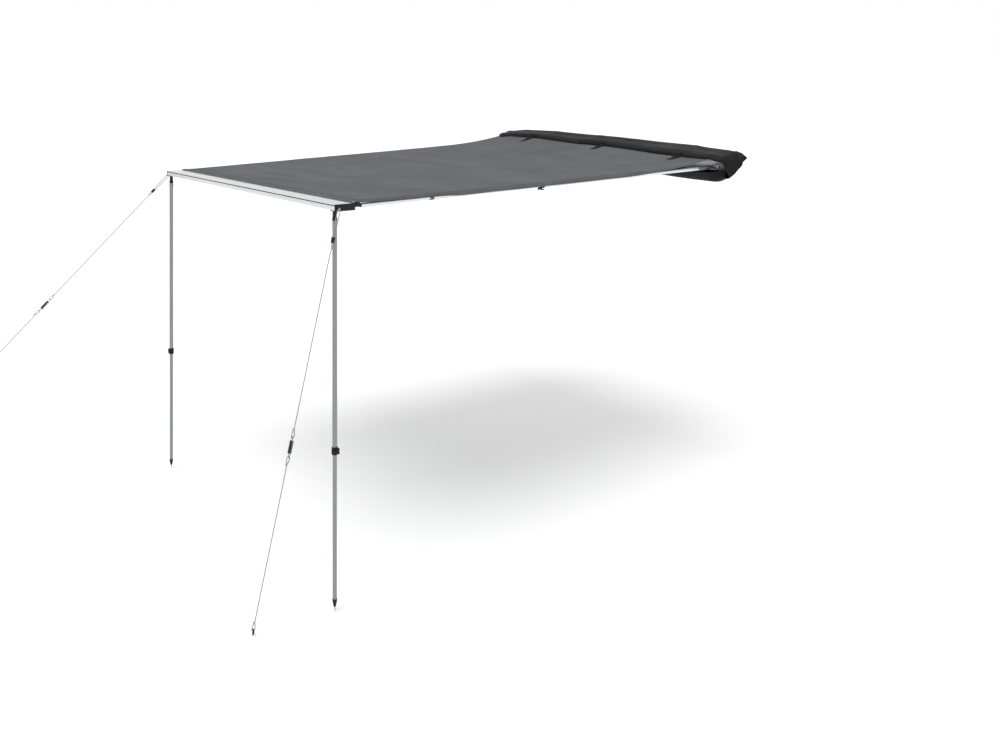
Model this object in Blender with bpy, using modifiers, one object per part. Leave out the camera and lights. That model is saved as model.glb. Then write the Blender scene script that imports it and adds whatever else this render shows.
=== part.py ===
"""Vehicle side awning, opened out: rail, bag, canopy, lead bar, rafters, legs and guy ropes.

Metres, +Z up. The origin is the centre of the base rail's back face, +Y points to the vehicle
and +X along it. "Right" is the +X end and "left" the -X end.
"""
import math

import bmesh
import bpy
from mathutils import Matrix, Vector

# Overall layout
MOUNT_HEIGHT = 2.165          # rail centre above the ground
LEG_SPACING = 2.422           # between the two leg axes
REACH = 3.0                   # from the rail's back face to the leg axes
GAP = 0.0003                  # between pieces that touch
PLANE_STEP = 0.0002           # keeps the faces of shapes that are joined off each other's planes
CUT_PAST = 0.002              # how far a cutter passes what it cuts
SIDES = {"left": -1, "right": 1}
GROUND_Z = -MOUNT_HEIGHT
LEG_X = LEG_SPACING / 2
LEG_Y = -REACH

# Base rail: an upright extrusion with two T-slots behind and three keder slots
RAIL_PAST_BAR = 0.051         # at each end
RAIL_HEIGHT = 0.100
RAIL_DEPTH = 0.025
RAIL_WALL = 0.0025
T_SLOT_Z = 0.025
T_SLOT_MOUTH = 0.0084
T_SLOT_POCKET = 0.015
T_SLOT_DEPTH = 0.008
RAIL_GROOVE_Z = -0.038        # groove along the front face, above the lower lip
RAIL_GROOVE_HEIGHT = 0.004
RAIL_GROOVE_DEPTH = 0.005
KEDER_RADIUS = 0.0036         # round slots that hold the beaded fabric edges
KEDER_MOUTH = 0.0034
KEDER_COVER = 0.0028          # wall between a keder slot and the face that it opens through
KEDER_SIDE_WALL = 0.0026      # wall between a keder slot and the rail's front or back face

# Brackets to the roof bars, and their T-bolts
BRACKET_SPACING = 1.0
BRACKET_WIDTH = 0.050
BRACKET_THICKNESS = 0.004
BRACKET_TOP_Z = 0.005
BRACKET_FOOT_Z = -0.095
BRACKET_FOOT_LENGTH = 0.080
BOLT_DIAMETER = 0.0078
BOLT_HEAD_WIDTH = 0.014
BOLT_HEAD_HEIGHT = 0.0044
NUT_ACROSS = 0.013
NUT_HEIGHT = 0.0065
BOLT_END = 0.003

# Lead bar: an inverted channel along the front edge
BAR_PAST_LEG = 0.032          # leg axis to the bar's cut end
BAR_WIDTH = 0.112
BAR_HEIGHT = 0.032
BAR_TOP_Z = -0.064
BAR_WALL = 0.0025
BAR_FRONT_TO_LEG = 0.018      # front face to the leg axis
LEG_BAY_HALF = 0.0155
BAR_GROOVE_DROP = 0.004       # top face to the groove along the front face
BAR_GROOVE_HEIGHT = 0.005
BAR_GROOVE_DEPTH = 0.0015
BAR_KEDER_INSET = 0.0085      # rear face to the keder slot's centre
BAR_REAR_BLOCK = 0.016        # solid rear edge that holds the keder slot
BAR_FRONT_Y = LEG_Y - BAR_FRONT_TO_LEG
BAR_REAR_Y = BAR_FRONT_Y + BAR_WIDTH
BAR_BOTTOM_Z = BAR_TOP_Z - BAR_HEIGHT
BAR_KEDER_Y = BAR_REAR_Y - BAR_KEDER_INSET

# End blocks of the lead bar
PLATE_THICKNESS = 0.0025
PLATE_DROP = 0.005            # the plate reaches this far below the bar
PLATE_OVERHANG = 0.001        # before the bar's front face
PLATE_REAR = 0.006            # behind the bar's rear face
BLOCK_DEPTH = 0.055           # how far the block reaches into the bar
BLOCK_END_WALL = 0.015
CHEEK = 0.0045
EAR_THICKNESS = 0.008
EAR_REACH = 0.036             # behind the bar's rear face
EAR_HALF_WIDTH = 0.014
EAR_DROP = 0.0005             # below the bar's top face
HOOK_PIN_DIAMETER = 0.008
HOOK_PIN_HEAD = 0.014
HOOK_PIN_HEAD_HEIGHT = 0.003
HOOK_PIN_LENGTH = 0.035
HOOK_PIN_INSET = 0.018        # behind the bar's rear face
HOOK_Y = BAR_REAR_Y + HOOK_PIN_INSET

# Legs
LEG_PIVOT_Z = -0.083
LEG_PIN_DIAMETER = 0.008
KNUCKLE_TONGUE = 0.017
KNUCKLE_HEAD = 0.011          # radius round the leg pin
KNUCKLE_FLANGE = 0.0135
KNUCKLE_NECK = 0.009
KNUCKLE_DROP = 0.067          # pivot to the end of the flange
KNUCKLE_PLUG = 0.034
KNUCKLE_THROAT = 0.021        # from the head down to the round neck
KNUCKLE_FLANGE_LENGTH = 0.015
RIVET_DIAMETER = 0.004
RIVET_HEAD = 0.007
RIVET_HEAD_HEIGHT = 0.0016
RIVET_INSET = 0.010           # tube's end to the first rivet
RIVET_PITCH = 0.013
OUTER_TUBE = 0.025
OUTER_WALL = 0.0012
INNER_TUBE = 0.022
INNER_WALL = 0.0012
LEG_CLAMP_HEIGHT = 0.830      # centre of the leg clamp above the ground
LEG_LOWER_LENGTH = 1.100
FOOT_LENGTH = 0.040
FOOT_TOP = 0.013
FOOT_BOTTOM = 0.006
FOOT_SOCKET = 0.020
SPIKE_DIAMETER = 0.008
SPIKE_LENGTH = 0.028
SPIKE_ROOT = 0.010

# Clamp collars and their levers, on legs and rafters
COLLAR_LENGTH = 0.040
COLLAR_RADIUS = 0.0165
COLLAR_CHAMFER = 0.003
LUG_THICKNESS = 0.005
LUG_RADIUS = 0.005
LEVER_WIDTH = 0.016
LEVER_THICKNESS = 0.005
LEVER_LENGTH = 0.030
LEVER_STUD = 0.004
LEVER_TIP_OUT = 0.001         # the rolled tip stands out this far
LEVER_SIDE = 0.012            # hub centre to the side of the tube's axis

# Rafters: telescopic arms that fold along the rail
RAFTER_PIVOT_Y = -0.085
RAFTER_PIVOT_Z = {"left": 0.024, "right": -0.023}   # so that one folds over the other
RAFTER_CLAMP_FROM_LEG = 1.380
RAFTER_PIN_DIAMETER = 0.008
RAFTER_TONGUE = 0.020
SLEEVE_START = 0.020          # from the pivot along the rafter
SLEEVE_LENGTH = 0.125
SLEEVE_RADIUS = 0.0150
SLEEVE_FLOOR = 0.025          # solid end before the sleeve's socket
RAFTER_LAP = 0.300            # inner tube inside the outer one
FORK_PLATE = 0.005
FORK_CHEEK = 0.005
FORK_GAP = 0.024
FORK_WIDTH = 0.040
FORK_HEIGHT = 0.048
HOOK_THICKNESS = 0.012
HOOK_RADIUS = 0.0125
HOOK_NOTCH = 0.0048           # half width of the notch round the pin
HOOK_SHANK = 0.040
HOOK_FLANGE = 0.006
HOOK_PLUG = 0.040             # inside the inner tube

# Canopy, bag and straps
CANOPY_INSET = 0.008          # bar's cut end to the canopy's side hem
CANOPY_THICKNESS = 0.002
CANOPY_OVER_RAFTER = 0.0195   # above a rafter's axis
CANOPY_SAG = 0.022
CANOPY_HUMP_Z = 0.070         # at the middle of the canopy
CANOPY_HUMP_TILT = 0.024      # lower per metre towards the right end
CANOPY_HUMP_LEAST = 0.058
CANOPY_OVER_BAR = 0.0065
CANOPY_HUMP_START_Y = -0.600
CANOPY_HUMP_Y = -0.048
BEAD_RADIUS = 0.003
BAG_PAST_RAIL = 0.066         # at each end
BAG_THICKNESS = 0.0024
BAG_DEPTH = 0.172
BAG_TOP = 0.130
BAG_LIP_Z = 0.066
BAG_TILT = 0.022              # the lid is this much lower per metre towards the right end
BAG_DROP = 0.105
STRAP_INSET = 0.385           # canopy's side to the outer straps
STRAP_SHIFT = 0.160           # how far the row of straps lies to the right
STRAP_WIDTH = 0.030
STRAP_THICKNESS = 0.002
STRAP_START_Y = -0.110
STRAP_LENGTH = 0.210
STRAP_LIFT = 0.0045           # over the facets of the canopy

# Guy ropes
ROPE_DIAMETER = 0.005
EYE_RING = 0.0085             # centre line radius of the eye
EYE_WIRE = 0.0034
EYE_SHANK = 0.012
EYE_Z = -0.088
RUNNER_DISTANCE = 0.150       # eye to runner
RUNNER_LENGTH = 0.030
RUNNER_WIDTH = 0.020
RUNNER_THICKNESS = 0.009
STRAND_OFFSET = 0.0045        # each strand to the runner's middle
LOOP_RADIUS = 0.007           # bends of the rope round eye, spring and peg
LOOP_LENGTH = 0.040
ROPE_SPACING = 0.120          # between points of a straight run
SPRING_DISTANCE = 1.194       # eye to the middle of the spring
SPRING_OUTER = 0.021
SPRING_WIRE = 0.003
SPRING_CURLS = 13
SPRING_PITCH = 0.005
SPRING_LOOP = 0.009           # centre line radius of the end loops
SPRING_NECK = 0.0015          # coil to the nearest point of an end loop's line
PEG_DIAMETER = 0.007
PEG_BEND = 0.010
PEG_SHANK = 0.024             # ground to the start of the hook's bend
PEG_POINTS = {"left": (-1.970, -4.745), "right": (1.173, -3.428)}

# Lengths along X that follow from the leg spacing
BAR_LENGTH = LEG_SPACING + 2 * BAR_PAST_LEG
CANOPY_WIDTH = BAR_LENGTH - 2 * CANOPY_INSET
RAIL_LENGTH = BAR_LENGTH + 2 * RAIL_PAST_BAR
BAG_LENGTH = RAIL_LENGTH + 2 * BAG_PAST_RAIL

# Points round a circle
TUBE_SIDES = 16
PIN_SIDES = 12
RIVET_SIDES = 8
CURL_POINTS = 8
KEDER_STEPS = 10
ROD_SPIN = 0.09               # keeps the corners of crossing rods off each other's planes

PARTS_NAME = "vehicle_side_awning"
CUTTERS_NAME = "cutters"

# Colour, roughness and metallic value of each finish
FINISHES = {
    "anodised_aluminium": ("#b9bdc0", 0.38, 1.0),
    "bright_aluminium": ("#d5d8db", 0.35, 1.0),
    "black_plastic": ("#1b1b1c", 0.50, 0.0),
    "grey_plastic": ("#77797b", 0.50, 0.0),
    "zinc_steel": ("#b4b6b8", 0.35, 1.0),
    "black_steel": ("#202122", 0.45, 1.0),
    "grey_canvas": ("#6e7476", 0.85, 0.0),
    "black_vinyl": ("#232023", 0.60, 0.0),
    "black_webbing": ("#1d1c1f", 0.80, 0.0),
    "grey_rope": ("#a9abac", 0.80, 0.0),
}


def clear_scene():
    """Removes every object, so that only the awning is left."""
    for obj in list(bpy.data.objects):
        bpy.data.objects.remove(obj, do_unlink=True)
    for name in (PARTS_NAME, CUTTERS_NAME):
        bpy.context.scene.collection.children.link(bpy.data.collections.new(name))


def linear(hex_colour):
    """A linear RGBA colour from an sRGB hex value."""
    channels = [int(hex_colour[i:i + 2], 16) / 255 for i in (1, 3, 5)]
    curve = [c / 12.92 if c <= 0.04045 else ((c + 0.055) / 1.055) ** 2.4 for c in channels]
    return (*curve, 1.0)


def paint(obj, finish):
    """Gives an object its own Principled material."""
    colour, roughness, metallic = FINISHES[finish]
    material = bpy.data.materials.new(f"{obj.name}_{finish}")
    material.use_nodes = True
    shader = material.node_tree.nodes["Principled BSDF"]
    shader.inputs["Base Color"].default_value = linear(colour)
    shader.inputs["Roughness"].default_value = roughness
    shader.inputs["Metallic"].default_value = metallic
    obj.data.materials.append(material)


def place(obj, finish=None, parent=None, matrix=None):
    """Links an object: a part where it has a finish, a cutter or a tool shape where it has none."""
    bpy.data.collections[PARTS_NAME if finish else CUTTERS_NAME].objects.link(obj)
    obj.parent = parent
    if matrix is not None:
        obj.matrix_local = matrix
    if finish:
        paint(obj, finish)
    else:
        obj.hide_render = True
        obj.display_type = "WIRE"
    return obj


def frame_empty(name, matrix, parent=None):
    """An empty on a joint's axis, which carries the pieces that turn or slide there."""
    empty = bpy.data.objects.new(name, None)
    bpy.data.collections[CUTTERS_NAME].objects.link(empty)
    empty.parent = parent
    empty.matrix_local = matrix
    return empty


def from_bmesh(name, bm, finish=None, parent=None, matrix=None):
    """An object from a bmesh, shaded smooth up to 35 degrees."""
    mesh = bpy.data.meshes.new(name)
    bmesh.ops.recalc_face_normals(bm, faces=bm.faces)
    bm.to_mesh(mesh)
    bm.free()
    mesh.shade_smooth()
    mesh.set_sharp_from_angle(angle=math.radians(35))
    return place(bpy.data.objects.new(name, mesh), finish, parent, matrix)


def box(name, low, high, finish=None, parent=None, matrix=None):
    """A box between two corners, given in any order."""
    bm = bmesh.new()
    bmesh.ops.create_cube(bm, size=1)
    low, high = Vector(low), Vector(high)
    size = Vector(abs(b - a) for a, b in zip(low, high))
    bmesh.ops.scale(bm, vec=size, verts=bm.verts)
    bmesh.ops.translate(bm, vec=(low + high) / 2, verts=bm.verts)
    return from_bmesh(name, bm, finish, parent, matrix)


def rod(name, start, end, radius, finish=None, parent=None, matrix=None, sides=PIN_SIDES):
    """A cylinder between two points."""
    start, end = Vector(start), Vector(end)
    turn = (end - start).to_track_quat("Z", "Y").to_matrix().to_4x4() @ Matrix.Rotation(ROD_SPIN, 4, "Z")
    bm = bmesh.new()
    bmesh.ops.create_cone(
        bm, cap_ends=True, segments=sides, radius1=radius, radius2=radius, depth=(end - start).length,
        matrix=Matrix.Translation((start + end) / 2) @ turn,
    )
    return from_bmesh(name, bm, finish, parent, matrix)


def boolean(obj, other, operation):
    """Joins a shape to an object or cuts it out, with the exact solver."""
    modifier = obj.modifiers.new(f"{operation.lower()}_{other.name}", "BOOLEAN")
    modifier.operation = operation
    modifier.solver = "EXACT"
    modifier.object = other
    return obj


def join(obj, *others):
    """Joins each shape to the object."""
    for other in others:
        boolean(obj, other, "UNION")
    return obj


def cut(obj, *others):
    """Cuts each shape out of the object."""
    for other in others:
        boolean(obj, other, "DIFFERENCE")
    return obj


def turned(name, profile, closed, finish=None, parent=None, matrix=None, sides=TUBE_SIDES):
    """A turned shape round +Z from (radius, height) points that run down the outer side."""
    mesh = bpy.data.meshes.new(name)
    edges = [(i, i + 1) for i in range(len(profile) - 1)]
    if closed:
        edges.append((len(profile) - 1, 0))
    mesh.from_pydata([(r, 0, z) for r, z in profile], edges, [])
    obj = place(bpy.data.objects.new(name, mesh), finish, parent, matrix)
    screw = obj.modifiers.new("turn", "SCREW")
    screw.steps = sides
    screw.render_steps = sides
    screw.use_merge_vertices = True
    screw.merge_threshold = 0.00001
    screw.use_smooth_shade = True
    return obj


def tube(name, outer, inner, low, high, finish, parent, matrix=None):
    """A straight tube round +Z between two heights, by its radii."""
    profile = [(outer, high), (outer, low), (inner, low), (inner, high)]
    return turned(name, profile, True, finish, parent, matrix)


def wire(name, points, radius, finish, parent=None, resolution=2):
    """A round tube along points, with filled caps."""
    curve = bpy.data.curves.new(name, "CURVE")
    curve.dimensions = "3D"
    curve.bevel_depth = radius
    curve.bevel_resolution = resolution
    curve.use_fill_caps = True
    spline = curve.splines.new("POLY")
    spline.points.add(len(points) - 1)
    for target, point in zip(spline.points, points):
        target.co = (*point, 1)
    return place(bpy.data.objects.new(name, curve), finish, parent)


def extrusion(name, outlines, length, finish):
    """A straight section along X: the first (y, z) outline is the outside, the others are chambers."""
    curve = bpy.data.curves.new(name, "CURVE")
    curve.dimensions = "2D"
    curve.fill_mode = "BOTH"
    curve.extrude = length / 2
    for outline in outlines:
        spline = curve.splines.new("POLY")
        spline.points.add(len(outline) - 1)
        for target, (y, z) in zip(spline.points, outline):
            target.co = (y, z, 0, 1)
        spline.use_cyclic_u = True
    upright = Matrix(((0, 0, 1), (1, 0, 0), (0, 1, 0))).to_4x4()
    return place(bpy.data.objects.new(name, curve), finish, None, upright)


def as_mesh(obj):
    """The same object with its curve made a welded mesh, so that it can be cut or joined."""
    bpy.context.view_layer.update()
    name, parent, matrix = obj.name, obj.parent, obj.matrix_local.copy()
    hidden, display = obj.hide_render, obj.display_type
    graph = bpy.context.evaluated_depsgraph_get()
    mesh = bpy.data.meshes.new_from_object(obj.evaluated_get(graph))
    curve = obj.data
    collection = obj.users_collection[0]
    bpy.data.objects.remove(obj)
    bpy.data.curves.remove(curve)
    bm = bmesh.new()
    bm.from_mesh(mesh)
    bmesh.ops.remove_doubles(bm, verts=bm.verts, dist=0.00001)
    bmesh.ops.recalc_face_normals(bm, faces=bm.faces)
    bm.to_mesh(mesh)
    bm.free()
    made = bpy.data.objects.new(name, mesh)
    collection.objects.link(made)
    made.parent = parent
    made.matrix_local = matrix
    made.hide_render, made.display_type = hidden, display
    return made


def smooth_path(points, steps):
    """A Catmull-Rom curve through the points, with a number of steps for each span."""
    route = [Vector(p) for p in points]
    ends = [2 * route[0] - route[1], *route, 2 * route[-1] - route[-2]]
    path = []
    for a, b, c, d in zip(ends, ends[1:], ends[2:], ends[3:]):
        for i in range(steps):
            t = i / steps
            path.append(0.5 * (
                2 * b + (c - a) * t + (2 * a - 5 * b + 4 * c - d) * t * t
                + (3 * b - a - 3 * c + d) * t ** 3
            ))
    return [*path, route[-1]]


def t_slot(centre_z):
    """The outline of a T-slot in the rail's back face, going up."""
    mouth, pocket = T_SLOT_MOUTH / 2, T_SLOT_POCKET / 2
    lower = [(0, -mouth), (-RAIL_WALL, -mouth), (-RAIL_WALL, -pocket), (-T_SLOT_DEPTH, -pocket)]
    upper = [(y, -z) for y, z in reversed(lower)]
    return [(y, centre_z + z) for y, z in lower + upper]


def keder_centre_z(face_z, up=1):
    """Height of the centre of a keder slot below (or above) its face."""
    return face_z - up * (KEDER_RADIUS + KEDER_COVER)


def keder_slot(centre_y, face_z, along):
    """The outline of a round slot that opens through a level face, met while going along -Y or +Y."""
    up = -along
    half = KEDER_MOUTH / 2
    rise = math.sqrt(KEDER_RADIUS ** 2 - half ** 2)
    centre_z = keder_centre_z(face_z, up)
    mouth_angle = math.asin(half / KEDER_RADIUS)
    start, sweep = math.pi / 2 + mouth_angle, 2 * (math.pi - mouth_angle)
    points = [(centre_y - along * half, face_z), (centre_y - along * half, centre_z + up * rise)]
    for i in range(1, KEDER_STEPS):
        angle = start + sweep * i / KEDER_STEPS
        offset = KEDER_RADIUS * math.cos(angle)
        points.append((centre_y + along * offset, centre_z + up * KEDER_RADIUS * math.sin(angle)))
    points.append((centre_y + along * half, centre_z + up * rise))
    points.append((centre_y + along * half, face_z))
    return points


# Places of the rail's keder slots across its depth
LID_SLOT_Y = -(KEDER_RADIUS + KEDER_SIDE_WALL)
CANOPY_SLOT_Y = -RAIL_DEPTH + KEDER_RADIUS + KEDER_SIDE_WALL
SLING_SLOT_Y = -RAIL_DEPTH / 2


def build_rail():
    """The rail extrusion with its chambers."""
    top, depth = RAIL_HEIGHT / 2, RAIL_DEPTH
    groove_low = RAIL_GROOVE_Z - RAIL_GROOVE_HEIGHT / 2
    groove_high = RAIL_GROOVE_Z + RAIL_GROOVE_HEIGHT / 2
    outline = [
        (0, -top), *t_slot(-T_SLOT_Z), *t_slot(T_SLOT_Z), (0, top),
        *keder_slot(LID_SLOT_Y, top, -1), *keder_slot(CANOPY_SLOT_Y, top, -1),
        (-depth, top), (-depth, groove_high), (-depth + RAIL_GROOVE_DEPTH, groove_high),
        (-depth + RAIL_GROOVE_DEPTH, groove_low), (-depth, groove_low), (-depth, -top),
        *keder_slot(SLING_SLOT_Y, -top, 1),
    ]
    middle = T_SLOT_Z - T_SLOT_POCKET / 2 - RAIL_WALL
    inner = -depth + RAIL_WALL
    behind_slot = -T_SLOT_DEPTH - RAIL_WALL
    slot_low, slot_high = T_SLOT_Z - T_SLOT_POCKET / 2, T_SLOT_Z + T_SLOT_POCKET / 2
    chambers = [
        [(inner, -middle), (-RAIL_WALL, -middle), (-RAIL_WALL, middle), (inner, middle)],
        [(inner, slot_low), (behind_slot, slot_low), (behind_slot, slot_high), (inner, slot_high)],
        [(inner, -slot_high), (behind_slot, -slot_high), (behind_slot, -slot_low), (inner, -slot_low)],
    ]
    as_mesh(extrusion("base_rail", [outline, *chambers], RAIL_LENGTH, "anodised_aluminium"))


def build_brackets():
    """Two L brackets that stand on the roof bars, each with its T-bolt and nut."""
    back = GAP + BRACKET_THICKNESS
    corner = [
        (GAP, BRACKET_FOOT_Z), (BRACKET_FOOT_LENGTH, BRACKET_FOOT_Z),
        (BRACKET_FOOT_LENGTH, BRACKET_FOOT_Z + BRACKET_THICKNESS),
        (back, BRACKET_FOOT_Z + BRACKET_THICKNESS), (back, BRACKET_TOP_Z), (GAP, BRACKET_TOP_Z),
    ]
    for side, sign in SIDES.items():
        x = sign * BRACKET_SPACING / 2
        z = -T_SLOT_Z
        bracket = as_mesh(extrusion(f"mounting_bracket_{side}", [corner], BRACKET_WIDTH, "black_steel"))
        bracket.location.x = x
        hole = rod(f"bracket_hole_{side}", (x, -0.01, z), (x, 0.02, z), BOLT_DIAMETER / 2 + GAP)
        cut(bracket, hole)
        bolt = rod(
            f"bracket_bolt_{side}", (x, -RAIL_WALL - GAP - 0.001, z),
            (x, back + NUT_HEIGHT + BOLT_END, z), BOLT_DIAMETER / 2, "zinc_steel",
        )
        half = BOLT_HEAD_WIDTH / 2
        head = box(
            f"bolt_head_{side}", (x - half, -RAIL_WALL - GAP - BOLT_HEAD_HEIGHT, z - half),
            (x + half, -RAIL_WALL - GAP, z + half),
        )
        nut = rod(
            f"bolt_nut_{side}", (x, back + GAP, z), (x, back + GAP + NUT_HEIGHT, z),
            NUT_ACROSS / math.sqrt(3), sides=6,
        )
        join(bolt, head, nut)


def build_lead_bar():
    """The front extrusion: an inverted channel with a leg bay and a keder slot at the rear."""
    front, rear, top, low = BAR_FRONT_Y, BAR_REAR_Y, BAR_TOP_Z, BAR_BOTTOM_Z
    ceiling = top - BAR_WALL
    groove_high = top - BAR_GROOVE_DROP
    groove_low = groove_high - BAR_GROOVE_HEIGHT
    bay_front, bay_rear = LEG_Y - LEG_BAY_HALF, LEG_Y + LEG_BAY_HALF
    web_rear = bay_rear + BAR_WALL
    block = rear - BAR_REAR_BLOCK
    outline = [
        (rear, low), (rear, top), *keder_slot(BAR_KEDER_Y, top, -1), (front, top),
        (front, groove_high), (front + BAR_GROOVE_DEPTH, groove_high),
        (front + BAR_GROOVE_DEPTH, groove_low), (front, groove_low), (front, low),
        (bay_front, low), (bay_front, ceiling), (bay_rear, ceiling), (bay_rear, low),
        (web_rear, low), (web_rear, ceiling), (block, ceiling), (block, low),
    ]
    extrusion("lead_bar", [outline], BAR_LENGTH, "bright_aluminium")


def build_end_block(side, sign):
    """The moulded end of the lead bar, with the steel pins and the guy eye that it carries."""
    bar_end = BAR_LENGTH / 2 + GAP
    outer = bar_end + PLATE_THICKNESS
    overlap = bar_end + PLATE_THICKNESS / 2
    inner = outer - BLOCK_DEPTH
    low, roof = BAR_BOTTOM_Z - PLATE_DROP, BAR_TOP_Z - BAR_WALL - GAP
    bay_front, bay_rear = LEG_Y - LEG_BAY_HALF + GAP, LEG_Y + LEG_BAY_HALF - GAP
    web_rear = LEG_Y + LEG_BAY_HALF + BAR_WALL + GAP
    rear_bay = BAR_REAR_Y - BAR_REAR_BLOCK - GAP
    ear_rear = BAR_REAR_Y + EAR_REACH
    ear_top = BAR_TOP_Z - EAR_DROP
    ear_low = ear_top - EAR_THICKNESS
    name = f"end_block_{side}"
    block = box(
        name, (sign * bar_end, BAR_FRONT_Y - PLATE_OVERHANG, low),
        (sign * outer, BAR_REAR_Y + PLATE_REAR, BAR_TOP_Z), "black_plastic",
    )
    shapes = {
        "front_cheek": ((inner, bay_front, low), (overlap, bay_front + CHEEK, roof)),
        "rear_cheek": ((inner, bay_rear - CHEEK, low), (overlap, bay_rear, roof)),
        "end_wall": ((outer - BLOCK_END_WALL, bay_front, low), (overlap, bay_rear, roof)),
        "plug": ((inner, web_rear, low), (overlap, rear_bay, roof)),
        "ear": ((LEG_X - EAR_HALF_WIDTH, BAR_REAR_Y + GAP, ear_low), (overlap, ear_rear, ear_top)),
    }
    for shape, (first, last) in shapes.items():
        first = (sign * first[0], *first[1:])
        last = (sign * last[0], *last[1:])
        join(block, box(f"{name}_{shape}", first, last))
    x = sign * LEG_X
    pin_hole = LEG_PIN_DIAMETER / 2 + GAP
    cut(
        block,
        rod(
            f"{name}_leg_pin_hole", (x, bay_front - CUT_PAST, LEG_PIVOT_Z),
            (x, bay_rear + CUT_PAST, LEG_PIVOT_Z), pin_hole,
        ),
        rod(
            f"{name}_hook_pin_hole", (x, HOOK_Y, ear_low - CUT_PAST), (x, HOOK_Y, ear_top + CUT_PAST),
            HOOK_PIN_DIAMETER / 2 + GAP,
        ),
        rod(
            f"{name}_eye_hole", (sign * (outer - EYE_SHANK), LEG_Y, EYE_Z),
            (sign * (outer + CUT_PAST), LEG_Y, EYE_Z), EYE_WIRE / 2 + GAP,
        ),
    )
    rod(
        f"leg_pin_{side}", (x, bay_front + GAP, LEG_PIVOT_Z), (x, bay_rear - GAP, LEG_PIVOT_Z),
        LEG_PIN_DIAMETER / 2, "zinc_steel",
    )
    pin_low = ear_top - HOOK_PIN_LENGTH
    pin = rod(
        f"hook_pin_{side}", (x, HOOK_Y, pin_low + 0.001), (x, HOOK_Y, ear_top - GAP),
        HOOK_PIN_DIAMETER / 2, "zinc_steel",
    )
    head = rod(
        f"hook_pin_head_{side}", (x, HOOK_Y, pin_low), (x, HOOK_Y, pin_low + HOOK_PIN_HEAD_HEIGHT),
        HOOK_PIN_HEAD / 2,
    )
    join(pin, head)
    build_eye(side, sign, outer)


def eye_centre(sign):
    """Centre of the guy eye's ring."""
    outer = BAR_LENGTH / 2 + GAP + PLATE_THICKNESS
    return Vector((sign * (outer + EYE_RING + EYE_WIRE), LEG_Y, EYE_Z))


def build_eye(side, sign, outer):
    """A ring in the XZ plane on a shank that is screwed into the block."""
    centre = eye_centre(sign)
    bpy.ops.mesh.primitive_torus_add(
        major_segments=16, minor_segments=8, major_radius=EYE_RING, minor_radius=EYE_WIRE / 2,
    )
    ring = bpy.context.object
    ring.name = f"guy_eye_{side}"
    for collection in list(ring.users_collection):
        collection.objects.unlink(ring)
    place(ring, "zinc_steel", None, Matrix.Translation(centre) @ Matrix.Rotation(math.pi / 2, 4, "X"))
    shank = rod(
        f"eye_shank_{side}", (sign * (outer - EYE_SHANK + GAP), LEG_Y, EYE_Z),
        (centre.x - sign * EYE_RING, LEG_Y, EYE_Z), EYE_WIRE / 2,
    )
    join(ring, shank)


def clamp_and_lever(label, side, parent, matrix):
    """A collar round the end of an outer tube with a flip lever. Local +Z is the outer tube's side."""
    half = COLLAR_LENGTH / 2
    outer_bore, inner_bore = OUTER_TUBE / 2 + GAP, INNER_TUBE / 2 + GAP
    edge = COLLAR_RADIUS - COLLAR_CHAMFER / 2
    name = f"{label}_clamp_{side}"
    collar = turned(name, [
        (edge, half), (COLLAR_RADIUS, half - COLLAR_CHAMFER), (COLLAR_RADIUS, COLLAR_CHAMFER - half),
        (edge, -half), (inner_bore, -half), (inner_bore, 0), (outer_bore, 0), (outer_bore, half),
    ], True, "black_plastic", parent, matrix)
    hub = Vector((COLLAR_RADIUS + LEVER_THICKNESS, LEVER_SIDE, 0))
    lug_low = LEVER_WIDTH / 2 + GAP
    lug_high = lug_low + LUG_THICKNESS
    for level, sign in (("top", 1), ("bottom", -1)):
        lug = box(
            f"{name}_{level}_lug", (OUTER_TUBE / 2, hub.y - LUG_RADIUS + PLANE_STEP, sign * lug_low),
            (hub.x, hub.y + LUG_RADIUS - PLANE_STEP, sign * lug_high), None, parent, matrix,
        )
        ring = rod(
            f"{name}_{level}_ring", (hub.x, hub.y, sign * (lug_low + PLANE_STEP)),
            (hub.x, hub.y, sign * (lug_high - PLANE_STEP)), LUG_RADIUS, None, parent, matrix,
        )
        join(collar, lug, ring)
    reach = lug_high + CUT_PAST
    bore = rod(
        f"{name}_stud_bore", (hub.x, hub.y, -reach), (hub.x, hub.y, reach),
        LEVER_STUD / 2 + GAP, None, parent, matrix,
    )
    cut(collar, bore)
    pivot = frame_empty(f"{label}_lever_axis_{side}", matrix @ Matrix.Translation(hub), parent)
    lever = rod(
        f"{label}_lever_{side}", (0, 0, -lug_high), (0, 0, lug_high), LEVER_STUD / 2,
        "black_plastic", pivot,
    )
    width = LEVER_WIDTH / 2
    hub_rod = rod(
        f"{label}_lever_hub_{side}", (0, 0, -width), (0, 0, width), LEVER_THICKNESS * 0.55, None, pivot,
    )
    arm = box(
        f"{label}_lever_arm_{side}", (-LEVER_THICKNESS / 2, -LEVER_LENGTH, PLANE_STEP - width),
        (LEVER_THICKNESS / 2, 0, width - PLANE_STEP), None, pivot,
    )
    tip = rod(
        f"{label}_lever_tip_{side}", (LEVER_TIP_OUT, -LEVER_LENGTH, -width),
        (LEVER_TIP_OUT, -LEVER_LENGTH, width),
        LEVER_THICKNESS * 0.7, None, pivot,
    )
    join(lever, hub_rod, arm, tip)


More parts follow.
